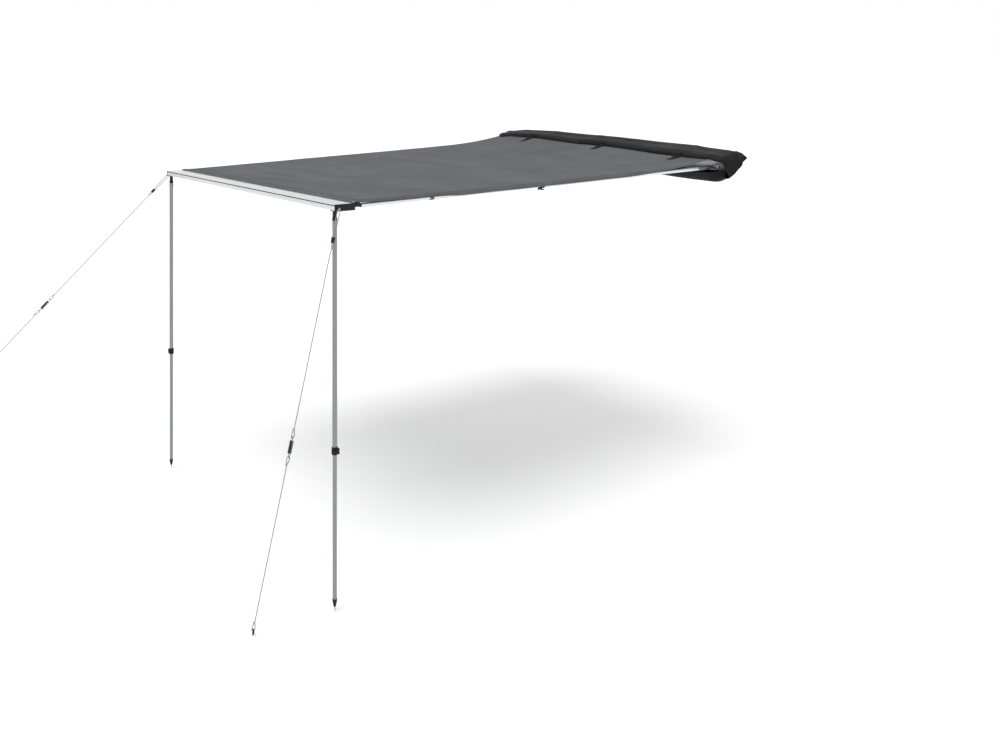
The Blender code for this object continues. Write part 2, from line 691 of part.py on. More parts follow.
def build_leg(side, sign):
    """A telescopic leg that hangs from its pin and folds along the lead bar."""
    axis = frame_empty(f"leg_axis_{side}", Matrix.Translation((sign * LEG_X, LEG_Y, LEG_PIVOT_Z)))
    ground = GROUND_Z - LEG_PIVOT_Z
    clamp_z = ground + LEG_CLAMP_HEIGHT
    outer, outer_bore = OUTER_TUBE / 2, OUTER_TUBE / 2 - OUTER_WALL
    inner, inner_bore = INNER_TUBE / 2, INNER_TUBE / 2 - INNER_WALL
    half = KNUCKLE_TONGUE / 2
    plug = outer_bore - GAP
    flange_top = -KNUCKLE_DROP + KNUCKLE_FLANGE_LENGTH
    neck_top = -KNUCKLE_HEAD - KNUCKLE_THROAT
    knuckle = turned(f"leg_knuckle_{side}", [
        (0, neck_top), (KNUCKLE_NECK - 0.001, neck_top),
        (KNUCKLE_NECK + 0.001, flange_top + 0.007), (KNUCKLE_FLANGE, flange_top),
        (KNUCKLE_FLANGE, -KNUCKLE_DROP), (plug, -KNUCKLE_DROP),
        (plug, -KNUCKLE_DROP - KNUCKLE_PLUG), (0, -KNUCKLE_DROP - KNUCKLE_PLUG),
    ], False, "black_plastic", axis)
    head = rod(
        f"leg_knuckle_head_{side}", (0, -half, 0), (0, half, 0), KNUCKLE_HEAD, None, axis, sides=TUBE_SIDES,
    )
    neck = box(
        f"leg_knuckle_neck_{side}", (-KNUCKLE_NECK, PLANE_STEP - half, flange_top + 0.003),
        (KNUCKLE_NECK, half - PLANE_STEP, 0), None, axis,
    )
    join(knuckle, head, neck)
    rivet_levels = [-KNUCKLE_DROP - RIVET_INSET - i * RIVET_PITCH for i in range(2)]
    rivet_reach = outer + GAP + RIVET_HEAD_HEIGHT
    for i, level in enumerate(rivet_levels):
        stem = rod(
            f"rivet_stem_{side}_{i}", (0, -rivet_reach + 0.001, level), (0, rivet_reach - 0.001, level),
            RIVET_DIAMETER / 2, None, axis, sides=RIVET_SIDES,
        )
        join(knuckle, stem)
        for face in (-1, 1):
            cap = rod(
                f"rivet_head_{side}_{i}_{face}", (0, face * (outer + GAP), level),
                (0, face * rivet_reach, level),
                RIVET_HEAD / 2, None, axis, sides=RIVET_SIDES,
            )
            join(knuckle, cap)
    bore = rod(
        f"leg_knuckle_bore_{side}", (0, -half - CUT_PAST, 0), (0, half + CUT_PAST, 0),
        LEG_PIN_DIAMETER / 2 + GAP, None, axis,
    )
    cut(knuckle, bore)
    upper = tube(
        f"leg_upper_tube_{side}", outer, outer_bore, clamp_z + GAP, -KNUCKLE_DROP - GAP,
        "anodised_aluminium", axis,
    )
    for i, level in enumerate(rivet_levels):
        hole = rod(
            f"rivet_hole_{side}_{i}", (0, -outer - CUT_PAST, level), (0, outer + CUT_PAST, level),
            RIVET_DIAMETER / 2 + GAP, None, axis, sides=RIVET_SIDES,
        )
        cut(upper, hole)
    turn = Matrix.Rotation(0 if sign > 0 else math.pi, 4, "Z")
    clamp_and_lever("leg", side, axis, Matrix.Translation((0, 0, clamp_z)) @ turn)
    spike_top = ground + SPIKE_LENGTH
    foot_top = spike_top + FOOT_LENGTH
    socket = foot_top - FOOT_SOCKET
    tube(
        f"leg_lower_tube_{side}", inner, inner_bore, socket + GAP, socket + GAP + LEG_LOWER_LENGTH,
        "anodised_aluminium", axis,
    )
    foot = turned(f"foot_cap_{side}", [
        (0, socket), (inner + GAP, socket), (inner + GAP, foot_top), (FOOT_TOP, foot_top),
        (FOOT_TOP, foot_top - 0.012), (FOOT_BOTTOM, spike_top), (0, spike_top),
    ], False, "black_plastic", axis)
    spike_hole = rod(
        f"spike_hole_{side}", (0, 0, spike_top - 0.005), (0, 0, spike_top + SPIKE_ROOT + GAP),
        SPIKE_DIAMETER / 2 + GAP, None, axis,
    )
    cut(foot, spike_hole)
    turned(f"ground_spike_{side}", [
        (0, spike_top + SPIKE_ROOT), (SPIKE_DIAMETER / 2, spike_top + SPIKE_ROOT),
        (SPIKE_DIAMETER / 2, ground + 0.008), (0.0015, ground), (0, ground),
    ], False, "zinc_steel", axis, sides=PIN_SIDES)


def rafter_span(side):
    """(distance from pivot to hook pin, slope in radians) of a rafter."""
    run = RAFTER_PIVOT_Y - HOOK_Y
    drop = RAFTER_PIVOT_Z[side] - LEG_PIVOT_Z
    return math.hypot(run, drop), math.atan2(drop, run)


def rafter_height(side, y):
    """Height of a rafter's axis at a place along Y."""
    slope = rafter_span(side)[1]
    return RAFTER_PIVOT_Z[side] - (RAFTER_PIVOT_Y - y) * math.tan(slope)


def build_rafter(side, sign):
    """A telescopic arm: its fork on the rail, sleeve, outer and inner tube, clamp and hook."""
    reach, slope = rafter_span(side)
    pivot = Vector((sign * LEG_X, RAFTER_PIVOT_Y, RAFTER_PIVOT_Z[side]))
    along = Vector((0, -math.cos(slope), -math.sin(slope)))
    upward = Vector((0, -math.sin(slope), math.cos(slope)))
    columns = Matrix((along, Vector((1, 0, 0)), upward)).transposed()
    axis = frame_empty(f"rafter_axis_{side}", Matrix.Translation(pivot) @ columns.to_4x4())
    lengthwise = Matrix.Rotation(math.pi / 2, 4, "Y")
    outer, outer_bore = OUTER_TUBE / 2, OUTER_TUBE / 2 - OUTER_WALL
    inner, inner_bore = INNER_TUBE / 2, INNER_TUBE / 2 - INNER_WALL
    build_fork(side, pivot, axis)

    sleeve_end = SLEEVE_START + SLEEVE_LENGTH
    tube_start = SLEEVE_START + SLEEVE_FLOOR
    sleeve_bore = outer + GAP
    sleeve = turned(f"rafter_sleeve_{side}", [
        (0, tube_start), (sleeve_bore, tube_start), (sleeve_bore, sleeve_end),
        (SLEEVE_RADIUS, sleeve_end), (SLEEVE_RADIUS, SLEEVE_START + 0.008),
        (SLEEVE_RADIUS - 0.004, SLEEVE_START), (0, SLEEVE_START),
    ], False, "grey_plastic", axis, lengthwise)
    half = RAFTER_TONGUE / 2
    tongue_end = rod(
        f"rafter_tongue_end_{side}", (0, 0, -half), (0, 0, half), KNUCKLE_HEAD, None, axis, sides=TUBE_SIDES,
    )
    tongue = box(
        f"rafter_tongue_{side}", (0, -KNUCKLE_NECK, PLANE_STEP - half),
        (SLEEVE_START + SLEEVE_FLOOR / 2, KNUCKLE_NECK, half - PLANE_STEP),
        None, axis,
    )
    join(sleeve, tongue_end, tongue)
    bore = rod(
        f"rafter_tongue_bore_{side}", (0, 0, -half - CUT_PAST), (0, 0, half + CUT_PAST),
        RAFTER_PIN_DIAMETER / 2 + GAP, None, axis,
    )
    cut(sleeve, bore)

    clamp_y = LEG_Y + RAFTER_CLAMP_FROM_LEG
    clamp_x = (RAFTER_PIVOT_Y - clamp_y) / math.cos(slope)
    tube(
        f"rafter_outer_tube_{side}", outer, outer_bore, tube_start + GAP, clamp_x - GAP,
        "bright_aluminium", axis, lengthwise,
    )
    facing = Matrix(((0, 0, -1), (0, -1, 0), (-1, 0, 0))).transposed()
    clamp_and_lever("rafter", side, axis, Matrix.Translation((clamp_x, 0, 0)) @ facing.to_4x4())
    shank_start = reach - HOOK_SHANK
    tube(
        f"rafter_inner_tube_{side}", inner, inner_bore, clamp_x - RAFTER_LAP, shank_start - GAP,
        "bright_aluminium", axis, lengthwise,
    )
    build_hook(side, sign, axis, reach, shank_start, inner, inner_bore)


def build_fork(side, pivot, axis):
    """The fork on the rail's front face, and the pin on which the rafter folds."""
    face = -RAIL_DEPTH - GAP
    x, z = pivot.x, pivot.z
    half = FORK_GAP / 2
    name = f"rafter_fork_{side}"
    wide, high = FORK_WIDTH / 2, FORK_HEIGHT / 2
    fork = box(
        name, (x - wide, face - FORK_PLATE, z - high), (x + wide, face, z + high), "anodised_aluminium",
    )
    for level, up in (("top", 1), ("bottom", -1)):
        near, far = z + up * half, z + up * (half + FORK_CHEEK)
        cheek = box(
            f"{name}_{level}_cheek", (x - KNUCKLE_FLANGE, pivot.y, near),
            (x + KNUCKLE_FLANGE, face - FORK_PLATE / 2, far),
        )
        end = rod(
            f"{name}_{level}_end", (x, pivot.y, z + up * (half + PLANE_STEP)),
            (x, pivot.y, z + up * (half + FORK_CHEEK - PLANE_STEP)), KNUCKLE_FLANGE, sides=TUBE_SIDES,
        )
        join(fork, cheek, end)
    reach = half + FORK_CHEEK
    radius = RAFTER_PIN_DIAMETER / 2
    past = reach + 2 * CUT_PAST
    hole = rod(f"{name}_hole", (0, 0, -past), (0, 0, past), radius + GAP, None, axis)
    cut(fork, hole)
    rod(f"rafter_pin_{side}", (0, 0, -reach - 0.001), (0, 0, reach + 0.001), radius, "zinc_steel", axis)


def build_hook(side, sign, axis, reach, shank_start, inner, inner_bore):
    """The flat hook at the rafter's front end, open outwards round the block's upright pin."""
    name = f"rafter_hook_{side}"
    half = HOOK_THICKNESS / 2
    hook = rod(name, (reach, 0, -half), (reach, 0, half), HOOK_RADIUS, "black_steel", axis, sides=TUBE_SIDES)
    blade = box(
        f"{name}_blade", (shank_start + 0.004, -HOOK_RADIUS * 0.8, PLANE_STEP - half),
        (reach, HOOK_RADIUS * 0.8, half - PLANE_STEP), None, axis,
    )
    flange = rod(
        f"{name}_flange", (shank_start, 0, 0), (shank_start + HOOK_FLANGE, 0, 0), inner, None, axis,
        sides=TUBE_SIDES,
    )
    plug = rod(
        f"{name}_plug", (shank_start - HOOK_PLUG, 0, 0), (shank_start + HOOK_FLANGE / 2, 0, 0),
        inner_bore - GAP, None, axis, sides=TUBE_SIDES,
    )
    join(hook, blade, flange, plug)
    throat = box(
        f"{name}_throat", (reach - HOOK_NOTCH, 0, -half - CUT_PAST),
        (reach + HOOK_NOTCH, sign * (HOOK_RADIUS + 2 * CUT_PAST), half + CUT_PAST), None, axis,
    )
    past = half + 2 * CUT_PAST
    seat = rod(f"{name}_seat", (reach, 0, -past), (reach, 0, past), HOOK_NOTCH + PLANE_STEP / 2, None, axis)
    cut(hook, throat, seat)


def canopy_hump(x):
    """Height of the canopy where it passes over the rail's front edge."""
    return max(CANOPY_HUMP_Z - CANOPY_HUMP_TILT * x, CANOPY_HUMP_LEAST)


def canopy_height(x, y):
    """Height of the canopy's middle surface between the lead bar and the rail."""
    across = (x / CANOPY_WIDTH) + 0.5
    left = rafter_height("left", y) + CANOPY_OVER_RAFTER
    right = rafter_height("right", y) + CANOPY_OVER_RAFTER
    level = left + (right - left) * across
    at_hump = [rafter_height(side, CANOPY_HUMP_Y) + CANOPY_OVER_RAFTER for side in SIDES]
    rise = canopy_hump(x) - (at_hump[0] + (at_hump[1] - at_hump[0]) * across)
    climb = max(0.0, (y - CANOPY_HUMP_START_Y) / (CANOPY_HUMP_Y - CANOPY_HUMP_START_Y))
    level += rise * climb ** 2
    front = BAR_TOP_Z + CANOPY_OVER_BAR
    level = 0.5 * (level + front + math.sqrt((level - front) ** 2 + 0.004 ** 2))
    along = (y - BAR_REAR_Y) / (CANOPY_HUMP_Y - BAR_REAR_Y)
    window = (1 - (2 * x / CANOPY_WIDTH) ** 2) * math.sin(math.pi * min(max(along, 0), 1))
    folds = 0.004 * math.sin(9 * x + 4 * y) + 0.003 * math.sin(5 * y - 7 * x)
    return level - window * (CANOPY_SAG + folds)


def sheet(name, rows, thickness, finish):
    """A fabric sheet from a grid of points, with its thickness about that grid."""
    bm = bmesh.new()
    grid = [[bm.verts.new(point) for point in row] for row in rows]
    for first, second in zip(grid, grid[1:]):
        for corners in zip(first, first[1:], second[1:], second):
            bm.faces.new(corners)
    obj = from_bmesh(name, bm, finish)
    solid = obj.modifiers.new("thickness", "SOLIDIFY")
    solid.thickness = thickness
    solid.offset = 0
    return obj


def build_canopy():
    """One sheet from the lead bar's slot over the rafters to the rail's slot, beaded at both ends."""
    bar_slot_z = keder_centre_z(BAR_TOP_Z)
    rail_top = RAIL_HEIGHT / 2
    rail_slot_z = keder_centre_z(rail_top)
    front = [
        (BAR_KEDER_Y, bar_slot_z), (BAR_KEDER_Y, BAR_TOP_Z + 0.001),
        (BAR_KEDER_Y + 0.002, BAR_TOP_Z + 0.005), (BAR_KEDER_Y + 0.006, BAR_TOP_Z + 0.0075),
    ]
    rear = [
        (CANOPY_SLOT_Y - 0.005, rail_top + 0.016), (CANOPY_SLOT_Y, rail_top + 0.006),
        (CANOPY_SLOT_Y, rail_slot_z),
    ]
    main_start, main_end, steps = BAR_REAR_Y + 0.012, CANOPY_HUMP_Y, 14
    main = [main_start + (main_end - main_start) * i / steps for i in range(steps + 1)]
    columns = 12
    rows = []
    for i in range(columns + 1):
        x = CANOPY_WIDTH * (i / columns - 0.5)
        row = [(x, y, z) for y, z in front] + [(x, y, canopy_height(x, y)) for y in main]
        over = (x, (CANOPY_HUMP_Y + CANOPY_SLOT_Y) / 2, canopy_hump(x) - CANOPY_THICKNESS)
        rows.append([*row, over, *[(x, y, z) for y, z in rear]])
    canopy = sheet("canopy", rows, CANOPY_THICKNESS, "grey_canvas")
    half = CANOPY_WIDTH / 2 - 0.0002
    for label, y, z in (("front", BAR_KEDER_Y, bar_slot_z), ("rear", CANOPY_SLOT_Y, rail_slot_z)):
        bead = rod(f"canopy_{label}_bead", (-half, y, z), (half, y, z), BEAD_RADIUS, sides=8)
        join(canopy, bead)


def fabric_half(name, path, panel, tilt=0.0):
    """One fabric piece of the bag, held in a keder slot, with a panel across each end.

    From its top to its lip it is lower by the tilt for each metre along X.
    """
    slot_y, slot_z = path[0]
    line = [(p.x, p.y) for p in smooth_path([(*q, 0) for q in path[1:]], 2)]
    rise_steps = len(line) // 2

    def section(x):
        """The fabric's (y, z) line at a place along X."""
        return [(y, z - tilt * x * min(i / rise_steps, 1)) for i, (y, z) in enumerate(line)]

    length = BAG_LENGTH
    stations = [-length / 2, *[(i / 4 - 0.5) * RAIL_LENGTH for i in range(5)], length / 2]
    rows = [[(x, slot_y, slot_z), *[(x, y, z) for y, z in section(x)]] for x in stations]
    piece = sheet(name, rows, BAG_THICKNESS, "black_vinyl")
    for end in (-1, 1):
        x = end * (length / 2 - BAG_THICKNESS / 2 - 0.0005)
        flat = as_mesh(extrusion(f"{name}_panel_{end}", [section(x) + panel], BAG_THICKNESS, None))
        flat.location.x = x
        join(piece, flat)
    half = RAIL_LENGTH / 2 - CUT_PAST
    bead = rod(f"{name}_bead", (-half, slot_y, slot_z), (half, slot_y, slot_z), BEAD_RADIUS, sides=8)
    join(piece, bead)


def build_bag():
    """The opened bag: a lid over the rail and a sling under it, and the straps that hang out of it."""
    top = RAIL_HEIGHT / 2
    seam = -0.030
    lid = [
        (LID_SLOT_Y, keder_centre_z(top)), (LID_SLOT_Y, top + 0.004), (0.005, top + 0.020),
        (0.011, top + 0.048), (-0.032, BAG_TOP), (-0.105, BAG_TOP - 0.018), (-BAG_DEPTH, BAG_LIP_Z),
    ]
    fabric_half("bag_lid", lid, [(0.004 - BAG_DEPTH, seam), (LID_SLOT_Y, seam)], BAG_TILT)
    sling = [
        (SLING_SLOT_Y, keder_centre_z(-top, -1)), (SLING_SLOT_Y, -top - 0.004),
        (SLING_SLOT_Y - 0.006, -top - 0.022), (-0.046, 0.006 - BAG_DROP), (-0.090, -BAG_DROP),
        (-0.130, 0.014 - BAG_DROP), (0.010 - BAG_DEPTH, 0.045 - BAG_DROP),
    ]
    under = seam - 2 * GAP
    fabric_half("bag_sling", sling, [(0.008 - BAG_DEPTH, under), (LID_SLOT_Y, under)])
    for label, place_in_row in (("left", -1), ("middle", 0), ("right", 1)):
        x = STRAP_SHIFT + place_in_row * (CANOPY_WIDTH / 2 - STRAP_INSET)
        rows = []
        for edge in (-0.5, 0, 0.5):
            across = x + edge * STRAP_WIDTH
            row = []
            for i in range(7):
                y = STRAP_START_Y - STRAP_LENGTH * i / 6
                lift = CANOPY_THICKNESS / 2 + STRAP_THICKNESS / 2 + STRAP_LIFT
                row.append((across, y, canopy_height(across, y) + lift))
            rows.append(row)
        sheet(f"bag_strap_{label}", rows, STRAP_THICKNESS, "black_webbing")


class GuyLine:
    """Directions and places along one guy rope, from the eye's ring to the peg's hook."""

    def __init__(self, side, sign):
        px, py = PEG_POINTS[side]
        centre = eye_centre(sign)
        self.hook = Vector((px, py, GROUND_Z + PEG_SHANK + PEG_BEND))
        self.ring_turn = 0.0
        start = centre
        for _ in range(3):
            self.down = (self.hook - start).normalized()
            self.ring_turn = math.atan2(self.down.y, -self.down.z)
            fall = Vector((0, math.sin(self.ring_turn), -math.cos(self.ring_turn)))
            start = centre + fall * EYE_RING
        self.start = start
        self.side = Vector((0, 0, 1)).cross(self.down).normalized()
        self.across = self.down.cross(self.side)
        self.length = (self.hook - self.start).length

    def at(self, distance, across=0.0, aside=0.0):
        """A point along the line, moved across it and aside."""
        return self.start + self.down * distance + self.across * across + self.side * aside

    def loop(self, distance, bar_radius, pull):
        """Points of a rope's end loop round a bar, from the main strand to the tail.

        pull is 1 where the rope comes from the eye's side and -1 where it comes from the ground.
        """
        apex = distance + pull * (bar_radius + ROPE_DIAMETER / 2 + 0.0006)
        centre = apex - pull * LOOP_RADIUS
        points = [
            self.at(centre - pull * LOOP_LENGTH),
            self.at(centre - pull * LOOP_LENGTH * 0.7, -0.002),
            self.at(centre - pull * LOOP_LENGTH * 0.3, -0.0062),
        ]
        for step in range(-3, 4):
            angle = step * math.pi / 6
            along = centre + pull * LOOP_RADIUS * math.cos(angle)
            points.append(self.at(along, LOOP_RADIUS * math.sin(angle)))
        points += [
            self.at(centre - pull * LOOP_LENGTH * 0.3, 0.0062),
            self.at(centre - pull * LOOP_LENGTH * 0.65, 0.0050),
            self.at(centre - pull * LOOP_LENGTH * 0.95, 0.0066),
        ]
        return points

    def straight(self, first, last):
        """Evenly spaced points between two distances, both left out."""
        count = max(1, round(abs(last - first) / ROPE_SPACING))
        return [self.at(first + (last - first) * i / count) for i in range(1, count)]


def spring_half():
    """Half of the spring's coil length."""
    return SPRING_CURLS * SPRING_PITCH / 2


def spring_ring_middle():
    """Distance from the spring's middle to the centre of an end loop."""
    return spring_half() + SPRING_NECK + SPRING_LOOP


def upper_rope(line):
    """Route of the upper rope: tail, runner, eye, runner again, then down to the spring."""
    low_end = RUNNER_DISTANCE + RUNNER_LENGTH / 2
    tail = [
        line.at(low_end + 0.024, 0.006, 0.042), line.at(low_end + 0.019, 0.007, 0.026),
        line.at(low_end + 0.011, 0.0060, 0.010), line.at(low_end + 0.004, STRAND_OFFSET, 0.001),
    ]
    rise = [line.at(low_end - 0.008 - i * 0.0345, STRAND_OFFSET + 0.0007 * i) for i in range(4)]
    wire_gap = EYE_WIRE / 2 + ROPE_DIAMETER / 2 + 0.0008
    centre = LOOP_RADIUS - wire_gap
    bend = []
    for step in range(3, -4, -1):
        angle = step * math.pi / 6
        bend.append(line.at(centre - LOOP_RADIUS * math.cos(angle), LOOP_RADIUS * math.sin(angle)))
    fall = [line.at(low_end - 0.008 - i * 0.0345, -STRAND_OFFSET - 0.0007 * i) for i in range(3, -1, -1)]
    join_at = low_end + 0.080
    merge = [line.at(low_end + 0.004, -STRAND_OFFSET), line.at(low_end + 0.040, -0.002), line.at(join_at)]
    ring = SPRING_DISTANCE - spring_ring_middle() - SPRING_LOOP
    loop = line.loop(ring, SPRING_WIRE / 2, 1)
    straight = line.straight(join_at, ring - LOOP_LENGTH - 0.004)
    return tail + rise + bend + fall + merge + straight + loop


def lower_rope(line):
    """Route of the lower rope, from its loop in the spring to its loop under the peg's hook."""
    ring = SPRING_DISTANCE + spring_ring_middle() + SPRING_LOOP
    top = line.loop(ring, SPRING_WIRE / 2, -1)[::-1]
    bottom = line.loop(line.length, PEG_DIAMETER / 2, 1)
    straight = line.straight(ring + LOOP_LENGTH + 0.004, line.length - LOOP_LENGTH - 0.008)
    return top + straight + bottom


def rope_path(points):
    """The rope's centre line: one more point in each span of its bends."""
    path = smooth_path(points, 2)
    kept = [path[0]]
    for before, point, after in zip(path, path[1:], path[2:]):
        long_run = (point - before).length > 0.02 and (after - point).length > 0.02
        turning = (point - before).angle(after - point) if not long_run else 0.0
        if not long_run or turning > 0.001 or (point - kept[-1]).length > ROPE_SPACING * 0.9:
            kept.append(point)
    return [*kept, path[-1]]


def spring_points(line):
    """The spring's one wire: an end loop, the curls and the other end loop."""
    radius = (SPRING_OUTER - SPRING_WIRE) / 2
    half = spring_half()

    def end_loop(sign):
        middle = SPRING_DISTANCE + sign * spring_ring_middle()
        points = []
        for i in range(9):
            angle = math.radians(-45 - 225 * i / 8)
            points.append(line.at(
                middle - sign * SPRING_LOOP * math.cos(angle), 0, SPRING_LOOP * math.sin(angle),
            ))
        return points

    curls = []
    count = SPRING_CURLS * CURL_POINTS
    for i in range(count + 1):
        turn = 2 * math.pi * i / CURL_POINTS
        curls.append(line.at(
            SPRING_DISTANCE - half + 2 * half * i / count, radius * math.sin(turn), radius * math.cos(turn),
        ))
    return end_loop(-1) + curls + end_loop(1)[::-1]


def least_gap(points, wire_diameter):
    """Least gap of a wire to itself, between stretches more than three quarters of a curl apart."""
    apart = CURL_POINTS * 3 // 4
    samples = [
        a.lerp(b, step / 4) for a, b in zip(points, points[1:]) for step in range(4)
    ]
    least = min(
        (samples[i] - samples[j]).length
        for i in range(len(samples)) for j in range(i + 4 * apart, len(samples))
    )
    return least - wire_diameter


def build_guy(side, sign):
    """A guy rope with its runner, spring and peg."""
    line = GuyLine(side, sign)
    eye = bpy.data.objects[f"guy_eye_{side}"]
    centre = eye_centre(sign)
    eye.matrix_local = Matrix.Translation(centre) @ Matrix.Rotation(line.ring_turn + math.pi / 2, 4, "X")
    radius = ROPE_DIAMETER / 2
    wire(f"guy_rope_upper_{side}", rope_path(upper_rope(line)), radius, "grey_rope")
    wire(f"guy_rope_lower_{side}", rope_path(lower_rope(line)), radius, "grey_rope")

    frame = Matrix((line.across, line.side, -line.down)).transposed().to_4x4()
    frame = Matrix.Translation(line.at(RUNNER_DISTANCE)) @ frame
    build_runner(side, frame)
    wire_points = spring_points(line)
    print(f"guy_spring_{side}: least gap to itself {least_gap(wire_points, SPRING_WIRE) * 1000:.2f} mm")
    wire(f"guy_spring_{side}", wire_points, SPRING_WIRE / 2, "black_steel", resolution=1)

    foot = Vector((line.hook.x, line.hook.y, GROUND_Z))
    shank = foot - line.side * PEG_BEND
    peg = [shank, shank + Vector((0, 0, PEG_SHANK * 0.5))]
    bend = foot + Vector((0, 0, PEG_SHANK))
    for i in range(7):
        angle = math.pi * (1 - i / 6)
        peg.append(bend + line.side * PEG_BEND * math.cos(angle) + Vector((0, 0, PEG_BEND * math.sin(angle))))
    peg.append(bend + line.side * PEG_BEND - Vector((0, 0, 0.008)))
    wire(f"guy_peg_{side}", peg, PEG_DIAMETER / 2, "black_steel")


def build_runner(side, frame):
    """The moulded line runner: a rounded triangle with a bore for each strand."""
    half = RUNNER_LENGTH / 2
    bm = bmesh.new()
    bmesh.ops.create_cube(bm, size=1)
    bmesh.ops.scale(bm, vec=(RUNNER_WIDTH, RUNNER_THICKNESS, RUNNER_LENGTH), verts=bm.verts)
    for vert in bm.verts:
        if vert.co.z < 0:
            vert.co.x *= 0.8
    runner = from_bmesh(f"guy_runner_{side}", bm, "black_plastic", None, frame)
    bevel = runner.modifiers.new("round", "BEVEL")
    bevel.width = 0.0015
    bevel.segments = 2
    for label, x in (("first", -STRAND_OFFSET), ("second", STRAND_OFFSET)):
        bore = rod(
            f"runner_{label}_bore_{side}", (x, 0, -half - 0.002), (x, 0, half + 0.002),
            ROPE_DIAMETER / 2 + 0.0005, None, None, frame, sides=12,
        )
        cut(runner, bore)


def main():
    """Builds every piece of the awning."""
    clear_scene()
    build_rail()
    build_brackets()
    build_lead_bar()
    for side, sign in SIDES.items():
        build_end_block(side, sign)
        build_leg(side, sign)
        build_rafter(side, sign)
        build_guy(side, sign)
    build_canopy()
    build_bag()


main()
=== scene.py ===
"""Looks of a vehicle side awning, opened out beside a vehicle that isn't shown.

Metres, +Z up. The origin is the centre of the base rail's back face, +Y points to the vehicle
and +X along it. Each sub-assembly is a class that builds and dresses its own pieces.
"""
import logging
import math
from dataclasses import dataclass, field
from enum import Enum
from typing import Any, Sequence

import bmesh
import bpy
from mathutils import Matrix, Vector, noise

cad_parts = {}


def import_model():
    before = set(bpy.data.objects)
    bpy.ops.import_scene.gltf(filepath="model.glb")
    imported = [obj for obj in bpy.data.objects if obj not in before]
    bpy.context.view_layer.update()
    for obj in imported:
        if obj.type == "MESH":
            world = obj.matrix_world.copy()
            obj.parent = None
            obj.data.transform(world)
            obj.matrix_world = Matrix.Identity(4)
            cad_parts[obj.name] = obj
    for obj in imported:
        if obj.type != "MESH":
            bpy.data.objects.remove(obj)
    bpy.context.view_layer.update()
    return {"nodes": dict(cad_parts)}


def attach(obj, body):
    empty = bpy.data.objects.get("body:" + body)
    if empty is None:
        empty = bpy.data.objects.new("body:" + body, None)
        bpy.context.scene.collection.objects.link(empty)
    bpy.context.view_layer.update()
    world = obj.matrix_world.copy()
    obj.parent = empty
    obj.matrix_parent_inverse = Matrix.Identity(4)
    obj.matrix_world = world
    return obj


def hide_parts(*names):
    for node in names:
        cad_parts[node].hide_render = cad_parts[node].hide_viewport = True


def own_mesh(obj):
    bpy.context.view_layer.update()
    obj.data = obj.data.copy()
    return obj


LOG = logging.getLogger("side_awning")

Line = Sequence[Vector]
Pair = tuple[float, float]
Point = tuple[float, float, float]
BMesh = bmesh.types.BMesh
Mesh = bpy.types.Mesh
Node = bpy.types.Node
Outputs = bpy.types.NodeOutputs
Piece = bpy.types.Object
Socket = bpy.types.NodeSocket
Tree = bpy.types.NodeTree


class Side(Enum):
    """The two ends of the awning."""

    LEFT = -1
    RIGHT = 1

    @property
    def label(self) -> str:
        """The end of the names of this side's pieces."""
        return self.name.lower()

    @property
    def sign(self) -> int:
        """-1 for the left end and 1 for the right one."""
        return self.value


class Grain(Enum):
    """The direction that an extrusion's or a drawn tube's fine lines run in."""

    ALONG_X = (3.0, 900.0, 900.0)
    ALONG_Y = (900.0, 3.0, 900.0)
    ALONG_Z = (900.0, 900.0, 3.0)


GROUND_Z = -2.165
LEG_X = 1.211
LEG_Y = -3.0
HOOK_Y = -2.888
HOOK_Z = -0.083
RAFTER_PIVOT_Y = -0.085
RAFTER_PIVOT_Z = {Side.LEFT: 0.024, Side.RIGHT: -0.023}
RAIL_TOP_Z = 0.050
BEAD_DEPTH = 0.0064
TUBE_OUTER = 0.0125
TUBE_INNER = 0.011
TUBE_WALL = 0.0012
BURR = 0.0003
MERGE_DISTANCE = 0.00002
FLAT_ANGLE = 1.0
BEVEL_ANGLE = 35.0
SHARP_CUT = 35.0
SHARP_TURNED = 40.0
SHARP_ROUNDED = 50.0
SHARP_SOFT = 60.0
SHARP_SHEET = 70.0
SHARP_PRESSED = 30.0
NOISE_ROUGHNESS = 0.55
WRINKLE_FALL = 0.9
WRINKLE_STEP = 2.1
CREASE_SHARPNESS = 7.0


def linear(hex_colour: str) -> tuple[float, float, float, float]:
    """Turns an sRGB hex value to linear red, green, blue and alpha."""
    channels = [int(hex_colour[i:i + 2], 16) / 255 for i in (1, 3, 5)]
    curve = [c / 12.92 if c <= 0.04045 else ((c + 0.055) / 1.055) ** 2.4 for c in channels]
    return (curve[0], curve[1], curve[2], 1.0)


def fresh_tree(owner: bpy.types.Material | bpy.types.World) -> Tree:
    """Gives a material or a world an empty node tree."""
    owner.use_nodes = True
    owner.node_tree.nodes.clear()
    return owner.node_tree


def add_node(
    tree: Tree, kind: str, settings: dict[str, Any] | None = None, inputs: dict[str | int, Any] | None = None,
) -> Node:
    """Adds a node with its settings and links.

    Args:
        tree: The node tree.
        kind: The node's type name.
        settings: The node's own properties.
        inputs: A value, or the socket to link from, for each named or numbered input.

    Returns:
        The new node.
    """
    node = tree.nodes.new(kind)
    for name, value in (settings or {}).items():
        setattr(node, name, value)
    for key, value in (inputs or {}).items():
        if isinstance(value, Socket):
            tree.links.new(value, node.inputs[key])
        else:
            node.inputs[key].default_value = value
    return node


def add_math(tree: Tree, operation: str, *values: Socket | float) -> Socket:
    """The result of a Math node on values or sockets."""
    return add_node(tree, "ShaderNodeMath", {"operation": operation}, dict(enumerate(values))).outputs[0]


def remap(tree: Tree, value: Socket, start: Pair = (0.0, 1.0), end: Pair = (0.0, 1.0)) -> Socket:
    """A value taken from one range to another."""
    return add_node(tree, "ShaderNodeMapRange", inputs={
        "Value": value, "From Min": start[0], "From Max": start[1], "To Min": end[0], "To Max": end[1],
    }).outputs["Result"]


